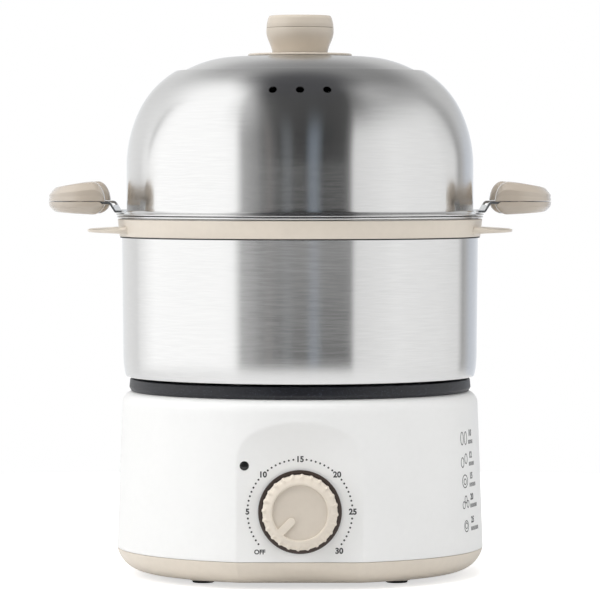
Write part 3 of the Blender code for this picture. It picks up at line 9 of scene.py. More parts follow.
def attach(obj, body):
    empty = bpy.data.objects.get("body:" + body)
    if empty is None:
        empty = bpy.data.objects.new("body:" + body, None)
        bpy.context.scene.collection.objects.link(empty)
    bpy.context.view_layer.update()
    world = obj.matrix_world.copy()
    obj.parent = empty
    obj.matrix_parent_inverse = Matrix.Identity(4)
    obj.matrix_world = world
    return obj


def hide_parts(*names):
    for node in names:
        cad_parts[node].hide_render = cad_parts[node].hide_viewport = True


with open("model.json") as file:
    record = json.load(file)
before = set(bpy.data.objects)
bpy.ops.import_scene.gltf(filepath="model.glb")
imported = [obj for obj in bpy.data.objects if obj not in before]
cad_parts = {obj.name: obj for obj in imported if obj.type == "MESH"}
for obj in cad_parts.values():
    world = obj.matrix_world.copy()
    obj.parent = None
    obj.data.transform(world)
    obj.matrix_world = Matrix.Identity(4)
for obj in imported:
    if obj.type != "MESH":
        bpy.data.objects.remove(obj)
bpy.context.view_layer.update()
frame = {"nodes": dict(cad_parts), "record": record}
MM = 0.001

# Studio. The steamer stands on a white table in a white surround, between a tall bright light panel on the
# left and a weaker one on the right, with an unlit gap where the camera stands.
scene = bpy.context.scene
scene.view_settings.view_transform = "Standard"
camera_lens = bpy.data.cameras.new("camera")
camera_lens.lens = 231
camera_lens.sensor_width = 36
camera = bpy.data.objects.new("camera", camera_lens)
camera.location = (0, -2.356, 0.2453)
camera.rotation_euler = (math.radians(88.1), 0, 0)
scene.collection.objects.link(camera)
scene.camera = camera


def node(tree, kind, inputs=None, **settings):
    """Add a shader node; inputs are values or other nodes' outputs."""
    added = tree.nodes.new(kind)
    for key, value in settings.items():
        setattr(added, key, value)
    for socket, value in (inputs or {}).items():
        if isinstance(value, bpy.types.NodeSocket):
            tree.links.new(value, added.inputs[socket])
        else:
            added.inputs[socket].default_value = value
    return added


def maths(tree, operation, *values):
    return node(tree, "ShaderNodeMath", dict(enumerate(values)), operation=operation).outputs[0]


def smooth_range(tree, value, low, high, start=0.0, end=1.0):
    inputs = {0: value, 1: low, 2: high, 3: start, 4: end}
    return node(tree, "ShaderNodeMapRange", inputs, interpolation_type="SMOOTHSTEP").outputs[0]


def ramp(tree, value, stops):
    """Grey or coloured ramp with linear steps between its stops."""
    added = node(tree, "ShaderNodeValToRGB", {0: value})
    elements = added.color_ramp.elements
    while len(elements) < len(stops):
        elements.new(0.5)
    for element, (place, colour) in zip(elements, stops):
        element.position = place
        element.color = (*colour, 1) if isinstance(colour, tuple) else (colour, colour, colour, 1)
    return added.outputs[0]


def mixed(tree, factor, first, second):
    inputs = {0: factor, 6: first, 7: second}
    return node(tree, "ShaderNodeMix", inputs, data_type="RGBA").outputs[2]


BRIGHTEST = 2.0


def fitted_stops(stops):
    """Stops in degrees and brightness, fitted to a ramp that holds shares from 0 to 1."""
    fitted = []
    for degrees, level in stops:
        level = tuple(part / BRIGHTEST for part in level) if isinstance(level, tuple) else level / BRIGHTEST
        fitted.append((degrees / 360 + 0.5, level))
    return fitted


# Brightness that the steel mirrors, by degrees round the horizon from the camera's side. The front part is
# shared by the ring at table height and the ring above it; the crown is the ring overhead, round a dark middle.
front = [
    (-117, 1.25), (-108, 1.37), (-50, 1.34), (-43, 1.28), (-37.5, 0.5), (-28, 0.33), (-23, 0.19),
    (-20, (0.23, 0.215, 0.21)), (-17, 0.15), (-13, 0.08), (-9.5, (0.16, 0.17, 0.18)), (-6.5, (0.16, 0.17, 0.18)),
    (-3.5, 0.07), (3.5, 0.06), (6.5, (0.2, 0.23, 0.27)), (10, (0.23, 0.26, 0.3)), (12.5, (0.14, 0.16, 0.18)),
    (15, 0.05), (28, 0.08), (32, 0.2), (35.5, 0.9), (65, 1.06), (105, 1.0),
]
low_stops = [(-180, (0.85, 0.88, 0.9)), (-150, 0.93), (-132, 0.9), (-127, 1.05)] + front
low_stops += [(124, 0.92), (131, 0.45), (135, 0.52), (145, (0.64, 0.67, 0.73)), (180, (0.85, 0.88, 0.92))]
high_stops = [(-180, 0.8), (-160, 0.8), (-124, 1.02), (-120.5, 0.5)] + front
high_stops += [(122, 0.82), (131, 0.42), (145, 0.65), (165, 0.62), (180, 0.75)]
crown_stops = [
    (-180, 0.35), (-160, 0.5), (-150, 0.85), (-138, 1.2), (-122, 1.35), (-60, 1.35), (-45, 1.1), (-36, 0.75),
    (-28, 0.55), (-22, 0.3), (-16, 0.13), (-8, 0.09), (10, 0.08), (29, 0.09), (34, 0.2), (46, 0.32), (55, 0.42),
    (84, 0.55), (100, 0.52), (121, 0.42), (134, 0.48), (150, 0.25), (180, 0.35),
]
studio = bpy.data.worlds.new("studio")
scene.world = studio
studio.use_nodes = True
sky = studio.node_tree
sky.nodes.clear()
direction = node(sky, "ShaderNodeTexCoord").outputs["Generated"]
axes = node(sky, "ShaderNodeSeparateXYZ", {0: direction}).outputs
height = axes[2]
towards_camera = maths(sky, "MULTIPLY", axes[1], -1.0)
level_part = maths(sky, "SUBTRACT", 1.0, maths(sky, "MULTIPLY", height, height))
level_part = maths(sky, "MAXIMUM", level_part, 0.001)
# The higher a direction points, the further round the horizon each stop lies, so the panels' edges lean.
narrowed = maths(sky, "DIVIDE", towards_camera, maths(sky, "POWER", level_part, 0.65))
turn = maths(sky, "MULTIPLY_ADD", maths(sky, "ARCTAN2", axes[0], narrowed), 1 / math.tau, 0.5)
low_ring = ramp(sky, turn, fitted_stops(low_stops))
high_ring = ramp(sky, turn, fitted_stops(high_stops))
crown_ring = ramp(sky, turn, fitted_stops(crown_stops))
walls = mixed(sky, smooth_range(sky, height, -0.02, 0.3), low_ring, high_ring)
vault = mixed(sky, smooth_range(sky, height, 0.4, 0.78), walls, crown_ring)
dark_middle = (0.045, 0.045, 0.048, 1)
roofed = mixed(sky, smooth_range(sky, height, 0.86, 0.99), vault, dark_middle)
# Below the horizon nothing is darker than a dim grey, as the white table would send up.
below = smooth_range(sky, height, -0.17, -0.02, 0.14, 0.0)
lightest = node(sky, "ShaderNodeMix", {0: 1.0, 6: roofed, 7: below}, data_type="RGBA", blend_type="LIGHTEN")
light_path = node(sky, "ShaderNodeLightPath").outputs
seen = maths(sky, "MAXIMUM", light_path["Is Camera Ray"], light_path["Is Transmission Ray"])
lit = node(sky, "ShaderNodeBackground", {0: lightest.outputs[2], 1: BRIGHTEST}).outputs[0]
plain = node(sky, "ShaderNodeBackground", {0: (1, 1, 1, 1), 1: 1.0}).outputs[0]
surround = node(sky, "ShaderNodeMixShader", {0: seen, 1: lit, 2: plain}).outputs[0]
node(sky, "ShaderNodeOutputWorld", {0: surround})


def lamp(name, azimuth, elevation, distance, size, power):
    """Soft area light that looks at the pot, placed by degrees; it isn't seen in the steel."""
    azimuth, elevation = math.radians(azimuth), math.radians(elevation)
    aim = Vector((0, 0, 0.15))
    light = bpy.data.lights.new(name, "AREA")
    light.shape = "DISK"
    light.size = size
    light.energy = power
    placed = bpy.data.objects.new(name, light)
    flat = distance * math.cos(elevation)
    spot = Vector((flat * math.sin(azimuth), -flat * math.cos(azimuth), distance * math.sin(elevation)))
    placed.location = spot + aim
    placed.rotation_euler = (-spot).to_track_quat("-Z", "Y").to_euler()
    placed.visible_glossy = False
    scene.collection.objects.link(placed)


lamp("key", azimuth=-62, elevation=14, distance=2.2, size=1.2, power=7.8)
lamp("top", azimuth=-10, elevation=74, distance=1.9, size=1.4, power=27)
lamp("fill", azimuth=40, elevation=6, distance=2.6, size=1.6, power=9.8)

TABLE_RADIUS = 0.8
SEEN_GLOW = 0.6
MIRRORED_GLOW = 0.12
table_mesh = bmesh.new()
bmesh.ops.create_circle(table_mesh, cap_ends=True, segments=96, radius=TABLE_RADIUS)
table_data = bpy.data.meshes.new("table")
table_mesh.to_mesh(table_data)
table_mesh.free()
table = bpy.data.objects.new("table", table_data)
scene.collection.objects.link(table)
paper = bpy.data.materials.new("white_paper")
paper.use_nodes = True
tree = paper.node_tree
tree.nodes.clear()
light_path = node(tree, "ShaderNodeLightPath").outputs
seen = maths(tree, "MAXIMUM", light_path["Is Camera Ray"], light_path["Is Transmission Ray"])
mirrored = maths(tree, "MULTIPLY", light_path["Is Glossy Ray"], MIRRORED_GLOW)
shine = maths(tree, "MULTIPLY_ADD", seen, SEEN_GLOW, mirrored)
matt = node(tree, "ShaderNodeBsdfDiffuse", {0: (0.8, 0.8, 0.8, 1)}).outputs[0]
glow = node(tree, "ShaderNodeEmission", {0: (1, 1, 1, 1), 1: shine}).outputs[0]
both = node(tree, "ShaderNodeAddShader", {0: matt, 1: glow}).outputs[0]
node(tree, "ShaderNodeOutputMaterial", {0: both})
table_data.materials.append(paper)


# Base tray, the lower shell. Beige satin ABS, one moulding with a curved flank, four foot bosses, screw wells
# and vent slots underneath; its front is cut flat in line with the panel above.
SEAM = 16.55
TRAY_FOOT = 3.4
PANEL_HALF = 37.4
PANEL_FOOT_HALF = 35.6
FOOT_CIRCLE = 81.8
SCREW_CIRCLE = 95.5


def material(name):
    """Empty Principled material: its tree, its shader and the object coordinates."""
    made = bpy.data.materials.new(name)
    made.use_nodes = True
    tree = made.node_tree
    shader = tree.nodes["Principled BSDF"]
    return made, tree, shader, node(tree, "ShaderNodeTexCoord").outputs["Object"]


def noise(tree, vector, scale, detail=2.0, roughness=0.5):
    inputs = {"Vector": vector, "Scale": scale, "Detail": detail, "Roughness": roughness}
    return node(tree, "ShaderNodeTexNoise", inputs).outputs[0]


def tint(colour, share):
    return tuple(min(part * share, 1) for part in colour) + (1,)


def moulded(name, colour, roughness, grain=0.05, grain_scale=1800, clouds=0.03):
    """Moulded plastic or rubber: a fine spark-eroded grain, faint clouds in colour and gloss."""
    made, tree, shader, place = material(name)
    cloud = noise(tree, place, 22.0, 3.0)
    speck = noise(tree, place, 260.0, 2.0)
    both = maths(tree, "MULTIPLY_ADD", speck, 0.35, maths(tree, "MULTIPLY", cloud, 0.65))
    spread = smooth_range(tree, both, 0.3, 0.7)
    body = mixed(tree, spread, tint(colour, 1 - clouds), tint(colour, 1 + clouds))
    tree.links.new(body, shader.inputs["Base Color"])
    gloss = smooth_range(tree, both, 0.25, 0.75, roughness - clouds, roughness + clouds)
    tree.links.new(gloss, shader.inputs["Roughness"])
    fine = noise(tree, place, float(grain_scale), 2.0)
    bump = node(tree, "ShaderNodeBump", {"Strength": grain, "Distance": 0.0003, "Height": fine})
    tree.links.new(bump.outputs[0], shader.inputs["Normal"])
    shader.inputs["IOR"].default_value = 1.5
    return made


beige = moulded("beige_satin", (0.715, 0.645, 0.553), 0.33)


def arc(centre, radius, start, end, steps):
    """Points of an arc from one angle to another, in degrees."""
    points = []
    for step in range(steps + 1):
        angle = math.radians(start + (end - start) * step / steps)
        points.append((centre[0] + radius * math.cos(angle), centre[1] + radius * math.sin(angle)))
    return points


def bulge(start, end, radius, steps):
    """Arc of a given radius that bulges outwards between two points of an outline."""
    across = Vector(end) - Vector(start)
    rise = math.sqrt(radius ** 2 - (across.length / 2) ** 2)
    centre = (Vector(start) + Vector(end)) / 2 + Vector((-across.y, across.x)).normalized() * rise
    first = math.degrees(math.atan2(start[1] - centre.y, start[0] - centre.x))
    last = math.degrees(math.atan2(end[1] - centre.y, end[0] - centre.x))
    return arc(centre, radius, first, last, steps)


def eased(corners, steps=5):
    """Outline with an arc at each corner that carries a rounding as its third value."""
    points = []
    for index, corner in enumerate(corners):
        here = Vector(corner[:2])
        if len(corner) < 3:
            points.append(tuple(here))
            continue
        back = Vector(corners[index - 1][:2]) - here
        ahead = Vector(corners[(index + 1) % len(corners)][:2]) - here
        half = back.angle(ahead) / 2
        reach = min(corner[2] / math.tan(half), back.length * 0.49, ahead.length * 0.49)
        radius = reach * math.tan(half)
        centre = here + (back.normalized() + ahead.normalized()).normalized() * radius / math.sin(half)
        first = here + back.normalized() * reach - centre
        sweep = (here + ahead.normalized() * reach - centre).angle_signed(first)
        for step in range(steps + 1):
            spoke = first.copy()
            spoke.rotate(Matrix.Rotation(sweep * step / steps, 2))
            points.append(tuple(centre + spoke))
    return points


def turned(outline, steps=160, front_steps=0):
    """Spin an outline of (radius, height) in millimetres; front_steps gives the front sixth finer steps."""
    bm = bmesh.new()
    verts = [bm.verts.new((radius * MM, 0, height * MM)) for radius, height in outline]
    pairs = list(zip(verts, verts[1:]))
    if max(outline[0][0], outline[-1][0]) > 0:
        pairs.append((verts[-1], verts[0]))
    geometry = verts + [bm.edges.new(pair) for pair in pairs]
    settings = {"cent": (0, 0, 0), "axis": (0, 0, 1)}
    if front_steps:
        bmesh.ops.rotate(bm, verts=verts, cent=(0, 0, 0), matrix=Matrix.Rotation(math.radians(-120), 3, "Z"))
        front = bmesh.ops.spin(bm, geom=geometry, angle=math.radians(60), steps=front_steps, **settings)
        geometry = front["geom_last"]
        bmesh.ops.spin(bm, geom=geometry, angle=math.radians(300), steps=steps, **settings)
    else:
        bmesh.ops.spin(bm, geom=geometry, angle=math.tau, steps=steps, use_merge=True, **settings)
    bmesh.ops.remove_doubles(bm, verts=bm.verts, dist=1e-6)
    return bm


def shade(mesh, sharp):
    mesh.shade_smooth()
    mesh.set_sharp_from_angle(angle=math.radians(sharp))


def piece(name, bm, finish, body, slot, *nodes, sharp=32):
    """Turn a bmesh into a finished piece that rides on a body and stands for CAD nodes."""
    bmesh.ops.recalc_face_normals(bm, faces=bm.faces)
    mesh = bpy.data.meshes.new(name)
    bm.to_mesh(mesh)
    bm.free()
    mesh.materials.append(finish)
    shade(mesh, sharp)
    item = bpy.data.objects.new(name, mesh)
    scene.collection.objects.link(item)
    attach(item, body)
    if nodes:
        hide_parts(*nodes)
    return item


def carve(item, bm, operation="DIFFERENCE", sharp=32):
    """Cut a tool shape from a piece, or join it on, for good."""
    bmesh.ops.recalc_face_normals(bm, faces=bm.faces)
    mesh = bpy.data.meshes.new("tool")
    bm.to_mesh(mesh)
    bm.free()
    tool = bpy.data.objects.new("tool", mesh)
    scene.collection.objects.link(tool)
    modifier = item.modifiers.new("carve", "BOOLEAN")
    modifier.operation = operation
    modifier.object = tool
    bpy.context.view_layer.update()
    shaped = bpy.data.meshes.new_from_object(item.evaluated_get(bpy.context.evaluated_depsgraph_get()))
    item.modifiers.clear()
    item.data = shaped
    shaped.name = item.name
    bpy.data.objects.remove(tool)
    shade(shaped, sharp)


def add_rod(bm, radius, low, high, place=None, sides=40, top_radius=None):
    """Straight or tapered rod along Z, moved by a matrix; sizes in millimetres."""
    top = radius if top_radius is None else top_radius
    made = bmesh.ops.create_cone(
        bm, cap_ends=True, segments=sides, radius1=radius * MM, radius2=top * MM, depth=(high - low) * MM
    )
    bmesh.ops.translate(bm, verts=made["verts"], vec=(0, 0, (high + low) / 2 * MM))
    if place is not None:
        bmesh.ops.transform(bm, matrix=place, verts=made["verts"])


def moved(x, y, z=0.0):
    return Matrix.Translation((x * MM, y * MM, z * MM))


def add_block(bm, width, depth, height, place=Matrix()):
    """Plain block, centred on a matrix; sizes in millimetres."""
    size = Matrix.Diagonal((width * MM, depth * MM, height * MM, 1))
    bmesh.ops.create_cube(bm, size=1, matrix=place @ size)


def diagonals(radius):
    """The four places on the diagonals of the base, in millimetres."""
    turns = [math.pi / 4 + quarter * math.pi / 2 for quarter in range(4)]
    return [(radius * math.cos(turn), radius * math.sin(turn)) for turn in turns]


flank = bulge((99.8, TRAY_FOOT), (112.0, SEAM), 17.3, 22)
hollow = bulge((97.4, 5.8), (107.5, SEAM), 15.6, 10)
tray_outline = [(0, TRAY_FOOT)] + flank[:-1] + eased([flank[-2], (112.0, SEAM, 0.25), (109.3, SEAM)])[1:]
tray_outline += [(109.3, 20.5), (107.5, 20.5)] + hollow[::-1] + [(0, 5.8)]
tray_bm = turned(tray_outline, 150, 160)
for vert in tray_bm.verts:
    share = min(1, (vert.co.z / MM - TRAY_FOOT) / (SEAM - TRAY_FOOT))
    half = (PANEL_FOOT_HALF + (PANEL_HALF - PANEL_FOOT_HALF) * share) * MM
    ring = vert.co.xy.length
    if vert.co.y < 0 and ring > 90 * MM and abs(vert.co.x) < half:
        vert.co.y = -math.sqrt(ring ** 2 - half ** 2)
tray = piece("tray_shell", tray_bm, beige, "base", "beige_plastic", "base_tray", sharp=22)
bosses = bmesh.new()
for x, y in diagonals(FOOT_CIRCLE):
    add_rod(bosses, 8.0, 1.6, 4.2, moved(x, y), 48)
carve(tray, bosses, "UNION", 22)
wells = bmesh.new()
for x, y in diagonals(FOOT_CIRCLE):
    add_rod(wells, 6.9, -2, 2.9, moved(x, y), 48)
for x, y in diagonals(SCREW_CIRCLE):
    add_rod(wells, 3.1, -2, 6.6, moved(x, y), 32)
for vent in range(-2, 3):
    add_block(wells, 3, 27, 12, moved(vent * 9, 34, 4))
carve(tray, wells, sharp=22)


# Feet. Four moulded discs of black rubber with a shallow dish in the sole, pressed into the bosses under the
# tray; each stands 1.6 mm proud of its boss.
rubber = moulded("black_rubber", (0.03, 0.03, 0.03), 0.75, grain=0.15, clouds=0.12)
corner_names = ("rear_right", "rear_left", "front_left", "front_right")
for corner_name, (x, y) in zip(corner_names, diagonals(FOOT_CIRCLE)):
    sole = [(0, 0.5), (2.6, 0.5), (3.0, 0, 0.2), (6.6, 0, 0.7), (6.6, 2.6, 0.3), (0, 2.6)]
    pad_bm = turned(eased(sole, 3), 48)
    pad_bm.transform(moved(x, y))
    piece("foot_" + corner_name, pad_bm, rubber, "base", "rubber", "foot_pad_" + corner_name)


# Housing, the upper shell. White satin ABS with a drafted round wall and a rounded shoulder. The front is a
# flat leaning panel that bends forward at its arched top until it meets the wall.
white = moulded("white_satin", (0.83, 0.83, 0.82), 0.38, grain=0.04, clouds=0.012)
PANEL_FOOT = 17.8
PANEL_FOOT_Y = -105.570
PANEL_LEAN = 0.0406
WALL_HEIGHT = 86.4
WALL_DRAFT = 3.3
WALL_SHEET = 2.4
SHOULDER_CENTRE = (100.7, 104.2)
SHOULDER_ROUND = 8.0
ARCH_FOOT = 72.0
ARCH_RISE = 26.6
LUG_CIRCLE = 100.8
LAMP_SPOT = (-32.7, 55.5)
DIAL_SPOT = (0, 28.5)
GLAND_HEIGHT = 31.8


def wall_radius(height):
    """Outer radius of the drafted wall, in millimetres."""
    return 112.0 - WALL_DRAFT * (height - PANEL_FOOT) / WALL_HEIGHT


def soft_max(first, second, blend):
    overlap = max(blend - abs(first - second), 0)
    return max(first, second) + overlap ** 2 / (4 * blend)


def panel_depth(height):
    """Place in Y of the panel, in millimetres; it bends forward into the wall over its arched top."""
    share = max(height - ARCH_FOOT, 0) / ARCH_RISE
    if share >= 1:
        return -wall_radius(height) - 1
    half = PANEL_HALF * (1 - share ** 2.6) ** (1 / 2.2)
    return -math.sqrt(wall_radius(height) ** 2 - half ** 2)


rows, inner_rows = 76, 26
outer_heights = [PANEL_FOOT + WALL_HEIGHT * row / rows for row in range(1, rows)]
inner_heights = [PANEL_FOOT + WALL_HEIGHT * row / inner_rows for row in range(inner_rows)]
wall = [(wall_radius(z), z) for z in outer_heights]
inner_wall = [(wall_radius(z) - WALL_SHEET, z) for z in inner_heights]
housing_outline = eased([(109.6, SEAM + 0.2), (112.03, SEAM + 0.2, 0.25), wall[0]], 3)[1:-1] + wall
housing_outline += arc(SHOULDER_CENTRE, SHOULDER_ROUND, 0, 90, 14)
housing_outline += eased([(100.7, 112.2), (90.0, 112.2, 0.6), (90.0, 109.8)], 3)[1:]
housing_outline += arc(SHOULDER_CENTRE, SHOULDER_ROUND - WALL_SHEET, 90, 0, 8) + inner_wall[::-1]
housing_bm = turned(housing_outline, 120, 150)
for vert in housing_bm.verts:
    x, y, z = vert.co / MM
    if y < -70 and abs(x) < 60:
        inside = math.hypot(x, y) < wall_radius(min(z, SHOULDER_CENTRE[1])) - 1.6 and z < 111
        inset = WALL_SHEET if inside else 0
        vert.co.y = soft_max(y, panel_depth(z) + inset, 0.35) * MM
housing = piece("housing", housing_bm, white, "base", "white_plastic", "housing_shell", sharp=40)


def on_panel(x, rise):
    """Matrix of a point of the panel, with Z pointing out of it; x and rise in millimetres."""
    lean = math.atan(PANEL_LEAN)
    up = Vector((0, math.sin(lean), math.cos(lean)))
    foot = Vector((x, PANEL_FOOT_Y, PANEL_FOOT))
    return Matrix.Translation((foot + up * rise) * MM) @ Matrix.Rotation(math.pi / 2 - lean, 4, "X")


def on_circle(radius, share):
    """Place on a circle round the axis by a share of a full turn, in millimetres."""
    angle = math.tau * share
    return moved(radius * math.cos(angle), radius * math.sin(angle))


gland_turn = Matrix.Rotation(-math.pi / 2 + math.atan(WALL_DRAFT / WALL_HEIGHT), 4, "X")
gland_place = moved(0, wall_radius(GLAND_HEIGHT), GLAND_HEIGHT) @ gland_turn
holes = bmesh.new()
add_rod(holes, 2.75, -6, 3, on_panel(*LAMP_SPOT))
add_rod(holes, 4.2, -6, 3, on_panel(*DIAL_SPOT))
add_rod(holes, 5.7, -6, 3, gland_place)
for lug in range(3):
    add_rod(holes, 1.8, 105, 115, on_circle(LUG_CIRCLE, 0.25 + lug / 3), 24)
carve(housing, holes, sharp=40)


# Indicator lamp. A small domed lens of smoked acrylic with a flange behind it, pushed from inside through a
# hole in the panel, to the left of the dial.
smoke = moulded("smoked_acrylic", (0.012, 0.012, 0.012), 0.12, grain=0.01, clouds=0.1)
lens_outline = [(0, -3.9), (3.5, -3.9), (3.5, -2.7), (2.55, -2.7)]
lens_outline += eased([(2.55, -2.7), (2.55, 0.1, 0.15), (2.3, 0.35)])[1:]
lens_outline += [(1.9, 0.5), (1.3, 0.62), (0.65, 0.69), (0, 0.7)]
lens_bm = turned(lens_outline, 48)
lens_bm.transform(on_panel(*LAMP_SPOT))
piece("lamp_dome", lens_bm, smoke, "base", "dark_plastic", "lamp_lens")


# Scale of the timer. Dark grey ink, pad-printed on the panel: a ring of dots round the dial, broken by plain
# numbers for the minutes and by OFF at the lower left.
ink = moulded("grey_ink", (0.045, 0.045, 0.047), 0.5, grain=0.02, clouds=0.1)
PRINT = 0.03
MARK_CIRCLE = 30.8
FIRST_MARK = -135
MARK_STEP = 45
DOT_STEP = 5.1


def add_words(bm, words, size, place):
    """Add flat lettering, centred on the matrix and a print's thickness proud."""
    text = bpy.data.curves.new("words", "FONT")
    text.body = words
    text.align_x = "CENTER"
    text.align_y = "CENTER"
    text.size = size * MM
    text.extrude = PRINT * MM
    text.offset = 0.04 * text.size
    text.resolution_u = 4
    held = bpy.data.objects.new("words", text)
    scene.collection.objects.link(held)
    bpy.context.view_layer.update()
    mesh = bpy.data.meshes.new_from_object(held.evaluated_get(bpy.context.evaluated_depsgraph_get()))
    bpy.data.objects.remove(held)
    before = set(bm.verts)
    bm.from_mesh(mesh)
    bpy.data.meshes.remove(mesh)
    bmesh.ops.transform(bm, matrix=place, verts=[vert for vert in bm.verts if vert not in before])


def clock(radius, degrees):
    """Place on the dial by degrees clockwise from the top, in millimetres."""
    angle = math.radians(degrees)
    return moved(radius * math.sin(angle), radius * math.cos(angle))


scale_bm = bmesh.new()
for gap in range(6):
    for dot in range(-3, 4):
        degrees = FIRST_MARK + MARK_STEP * gap + MARK_STEP / 2 + dot * DOT_STEP
        add_rod(scale_bm, 0.6, -PRINT, PRINT, clock(MARK_CIRCLE, degrees), 14)
marks = (("OFF", 33.4), ("5", MARK_CIRCLE), ("10", MARK_CIRCLE), ("15", MARK_CIRCLE), ("20", MARK_CIRCLE))
marks += (("25", 31.0), ("30", 32.5))
for index, (words, radius) in enumerate(marks):
    size = 3.7 if words == "OFF" else 4.7
    add_words(scale_bm, words, size, clock(radius, FIRST_MARK + MARK_STEP * index))
scale_bm.transform(on_panel(*DIAL_SPOT))
for vert in scale_bm.verts:
    height = vert.co.z / MM
    flat_depth = PANEL_FOOT_Y + PANEL_LEAN * (height - PANEL_FOOT)
    vert.co.y += (panel_depth(height) - flat_depth) * MM
piece("dial_scale", scale_bm, ink, "base", "dark_plastic")


# Guide on the right of the wall. The same ink, printed on the round wall: five rows, each with a sign of plain
# ovals, a number and a row of bars that grows downwards.
GUIDE_TURN = 64
GUIDE_RADIUS = 110


def thicken(bm, faces, offset):
    """Extrude flat faces by a vector in metres; returns the new corners."""
    grown = bmesh.ops.extrude_face_region(bm, geom=faces)
    verts = [part for part in grown["geom"] if isinstance(part, bmesh.types.BMVert)]
    bmesh.ops.translate(bm, verts=verts, vec=offset)
    return verts


def add_ring(bm, half_width, half_height, place, line=0.6):
    """Flat outline of an oval."""
    made = bmesh.ops.create_circle(bm, segments=36, radius=1, cap_ends=True)
    stretch = Matrix.Diagonal((half_width * MM, half_height * MM, 1, 1))
    bmesh.ops.transform(bm, matrix=stretch, verts=made["verts"])
    face = made["verts"][0].link_faces[0]
    bmesh.ops.inset_individual(bm, faces=[face], thickness=line * MM)
    ring = {edge for vert in made["verts"] for edge in vert.link_edges}
    band = list({linked for edge in ring for linked in edge.link_faces if linked is not face})
    bmesh.ops.delete(bm, geom=[face], context="FACES_ONLY")
    verts = thicken(bm, band, (0, 0, PRINT * MM))
    whole = list({vert for part in band for vert in part.verts} | set(verts))
    bmesh.ops.transform(bm, matrix=place, verts=whole)


guide_rows = (
    (85.6, "10", (2.2, 4.1), ((-2.6, 0), (2.6, 0))),
    (72.4, "12", (2.2, 3.2), ((-2.8, -1.2), (2.4, 0.8))),
    (59.8, "15", (4.0, 4.1), ((0, 0),)),
    (47.2, "20", (1.9, 2.4), ((-2.6, -1.6), (0.4, 1.6), (3.2, -1.2))),
    (33.4, "25", (3.2, 3.6), ((0, -0.6),)),
)
guide_bm = bmesh.new()
for row, (height, number, oval, centres) in enumerate(guide_rows):
    for x, y in centres:
        add_ring(guide_bm, *oval, moved(x, height + y))
    if len(centres) == 1:
        add_ring(guide_bm, 2.0, 2.0, moved(0, height - 0.3))
    add_words(guide_bm, number, 5.2, moved(10.2, height + 2.6))
    for bar in range(row + 5):
        add_block(guide_bm, 1.0, 2.3, 2 * PRINT, moved(7.6 + 1.7 * bar, height - 2.6))
for vert in guide_bm.verts:
    along, height, lift = vert.co / MM
    angle = math.radians(GUIDE_TURN) + along / GUIDE_RADIUS
    radius = wall_radius(height) + lift
    vert.co = Vector((radius * math.sin(angle), -radius * math.cos(angle), height)) * MM
piece("side_guide", guide_bm, ink, "base", "dark_plastic")


# Timer dial and knob. The knob is beige ABS with 24 scalloped flutes, a flat land, a sunk face and a raised
# pointer bar; it turns on a dark brown trim ring and a steel shaft with a flat.
brown = moulded("dark_brown", (0.05, 0.036, 0.03), 0.4, grain=0.03, clouds=0.08)
RIB_STEP = 15
FIRST_RIB = 87
RIB_HALF = 3.1
RIB_FOOT = 19.5
POINTER_TURN = 225
SUNK_FACE = 12.6
dial = on_panel(*DIAL_SPOT)
trim = [(0, 0.3), (24.55, 0.3), (24.55, 1.8, 0.35), (22.6, 1.8, 0.2), (22.2, 1.5), (0, 1.5)]
trim_bm = turned(eased(trim, 4), 144)
trim_bm.transform(dial)
piece("dial_trim", trim_bm, brown, "base", "dark_plastic", "dial_bezel")

knob_outline = eased([
    (0, 10.4), (19.2, 10.4, 0.5), (19.2, 2.3), (22.0, 2.3, 0.2), (21.9, 10.6, 1.8),
    (20.1, 12.8, 1.6), (17.6, 14.0, 2.2), (16.4, 14.0, 0.25), (16.1, SUNK_FACE, 0.15), (0, SUNK_FACE),
], 7)
knob_bm = turned(knob_outline, 360)
for vert in knob_bm.verts:
    ring, rise = vert.co.xy.length / MM, vert.co.z / MM
    if ring > RIB_FOOT:
        turn = math.degrees(math.atan2(vert.co.y, vert.co.x)) - FIRST_RIB
        off_rib = (turn + RIB_STEP / 2) % RIB_STEP - RIB_STEP / 2
        hump = max(0, 1 - (off_rib / RIB_HALF) ** 2)
        rib = min(0.9, 22.5 - ring) * hump * min(1, (ring - RIB_FOOT) / 0.6)
        vert.co.xy *= 1 + rib / ring
        vert.co.z += 0.45 * rib * min(1, max(0, rise - 9)) * MM
knob_bar = bmesh.new()
bar_plan = [(17.0, -2.35), (17.0, 2.35)] + arc((7.4, 0), 2.35, 90, 270, 20)
bar_face = knob_bar.faces.new([knob_bar.verts.new((x * MM, y * MM, 12.5 * MM)) for x, y in bar_plan])
thicken(knob_bar, [bar_face], (0, 0, 1.48 * MM))
top_edges = [edge for edge in knob_bar.edges if all(vert.co.z > 13 * MM for vert in edge.verts)]
bmesh.ops.bevel(
    knob_bar, geom=top_edges, affect="EDGES", offset=0.3 * MM, offset_type="OFFSET",
    segments=3, profile=0.5, material=-1,
)
knob_bar.transform(Matrix.Rotation(math.radians(POINTER_TURN), 4, "Z"))
timer_knob = piece("timer_dial_knob", knob_bm, beige, "timer", "beige_plastic", "timer_knob", sharp=40)
# The sunk face gets a second, darker and rougher copy of the beige: its darker tone is painted shade for the recess,
# its roughness a matt finish.
timer_knob.data.materials.append(moulded("beige_matt_painted_shade", (0.61, 0.545, 0.465), 0.55, grain=0.1, grain_scale=1500))
carve(timer_knob, knob_bar, "UNION", 40)
for polygon in timer_knob.data.polygons:
    middle = polygon.center / MM
    if middle.xy.length < 16.2 and abs(middle.z - SUNK_FACE) < 0.1:
        polygon.material_index = 1
timer_knob.data.transform(dial)


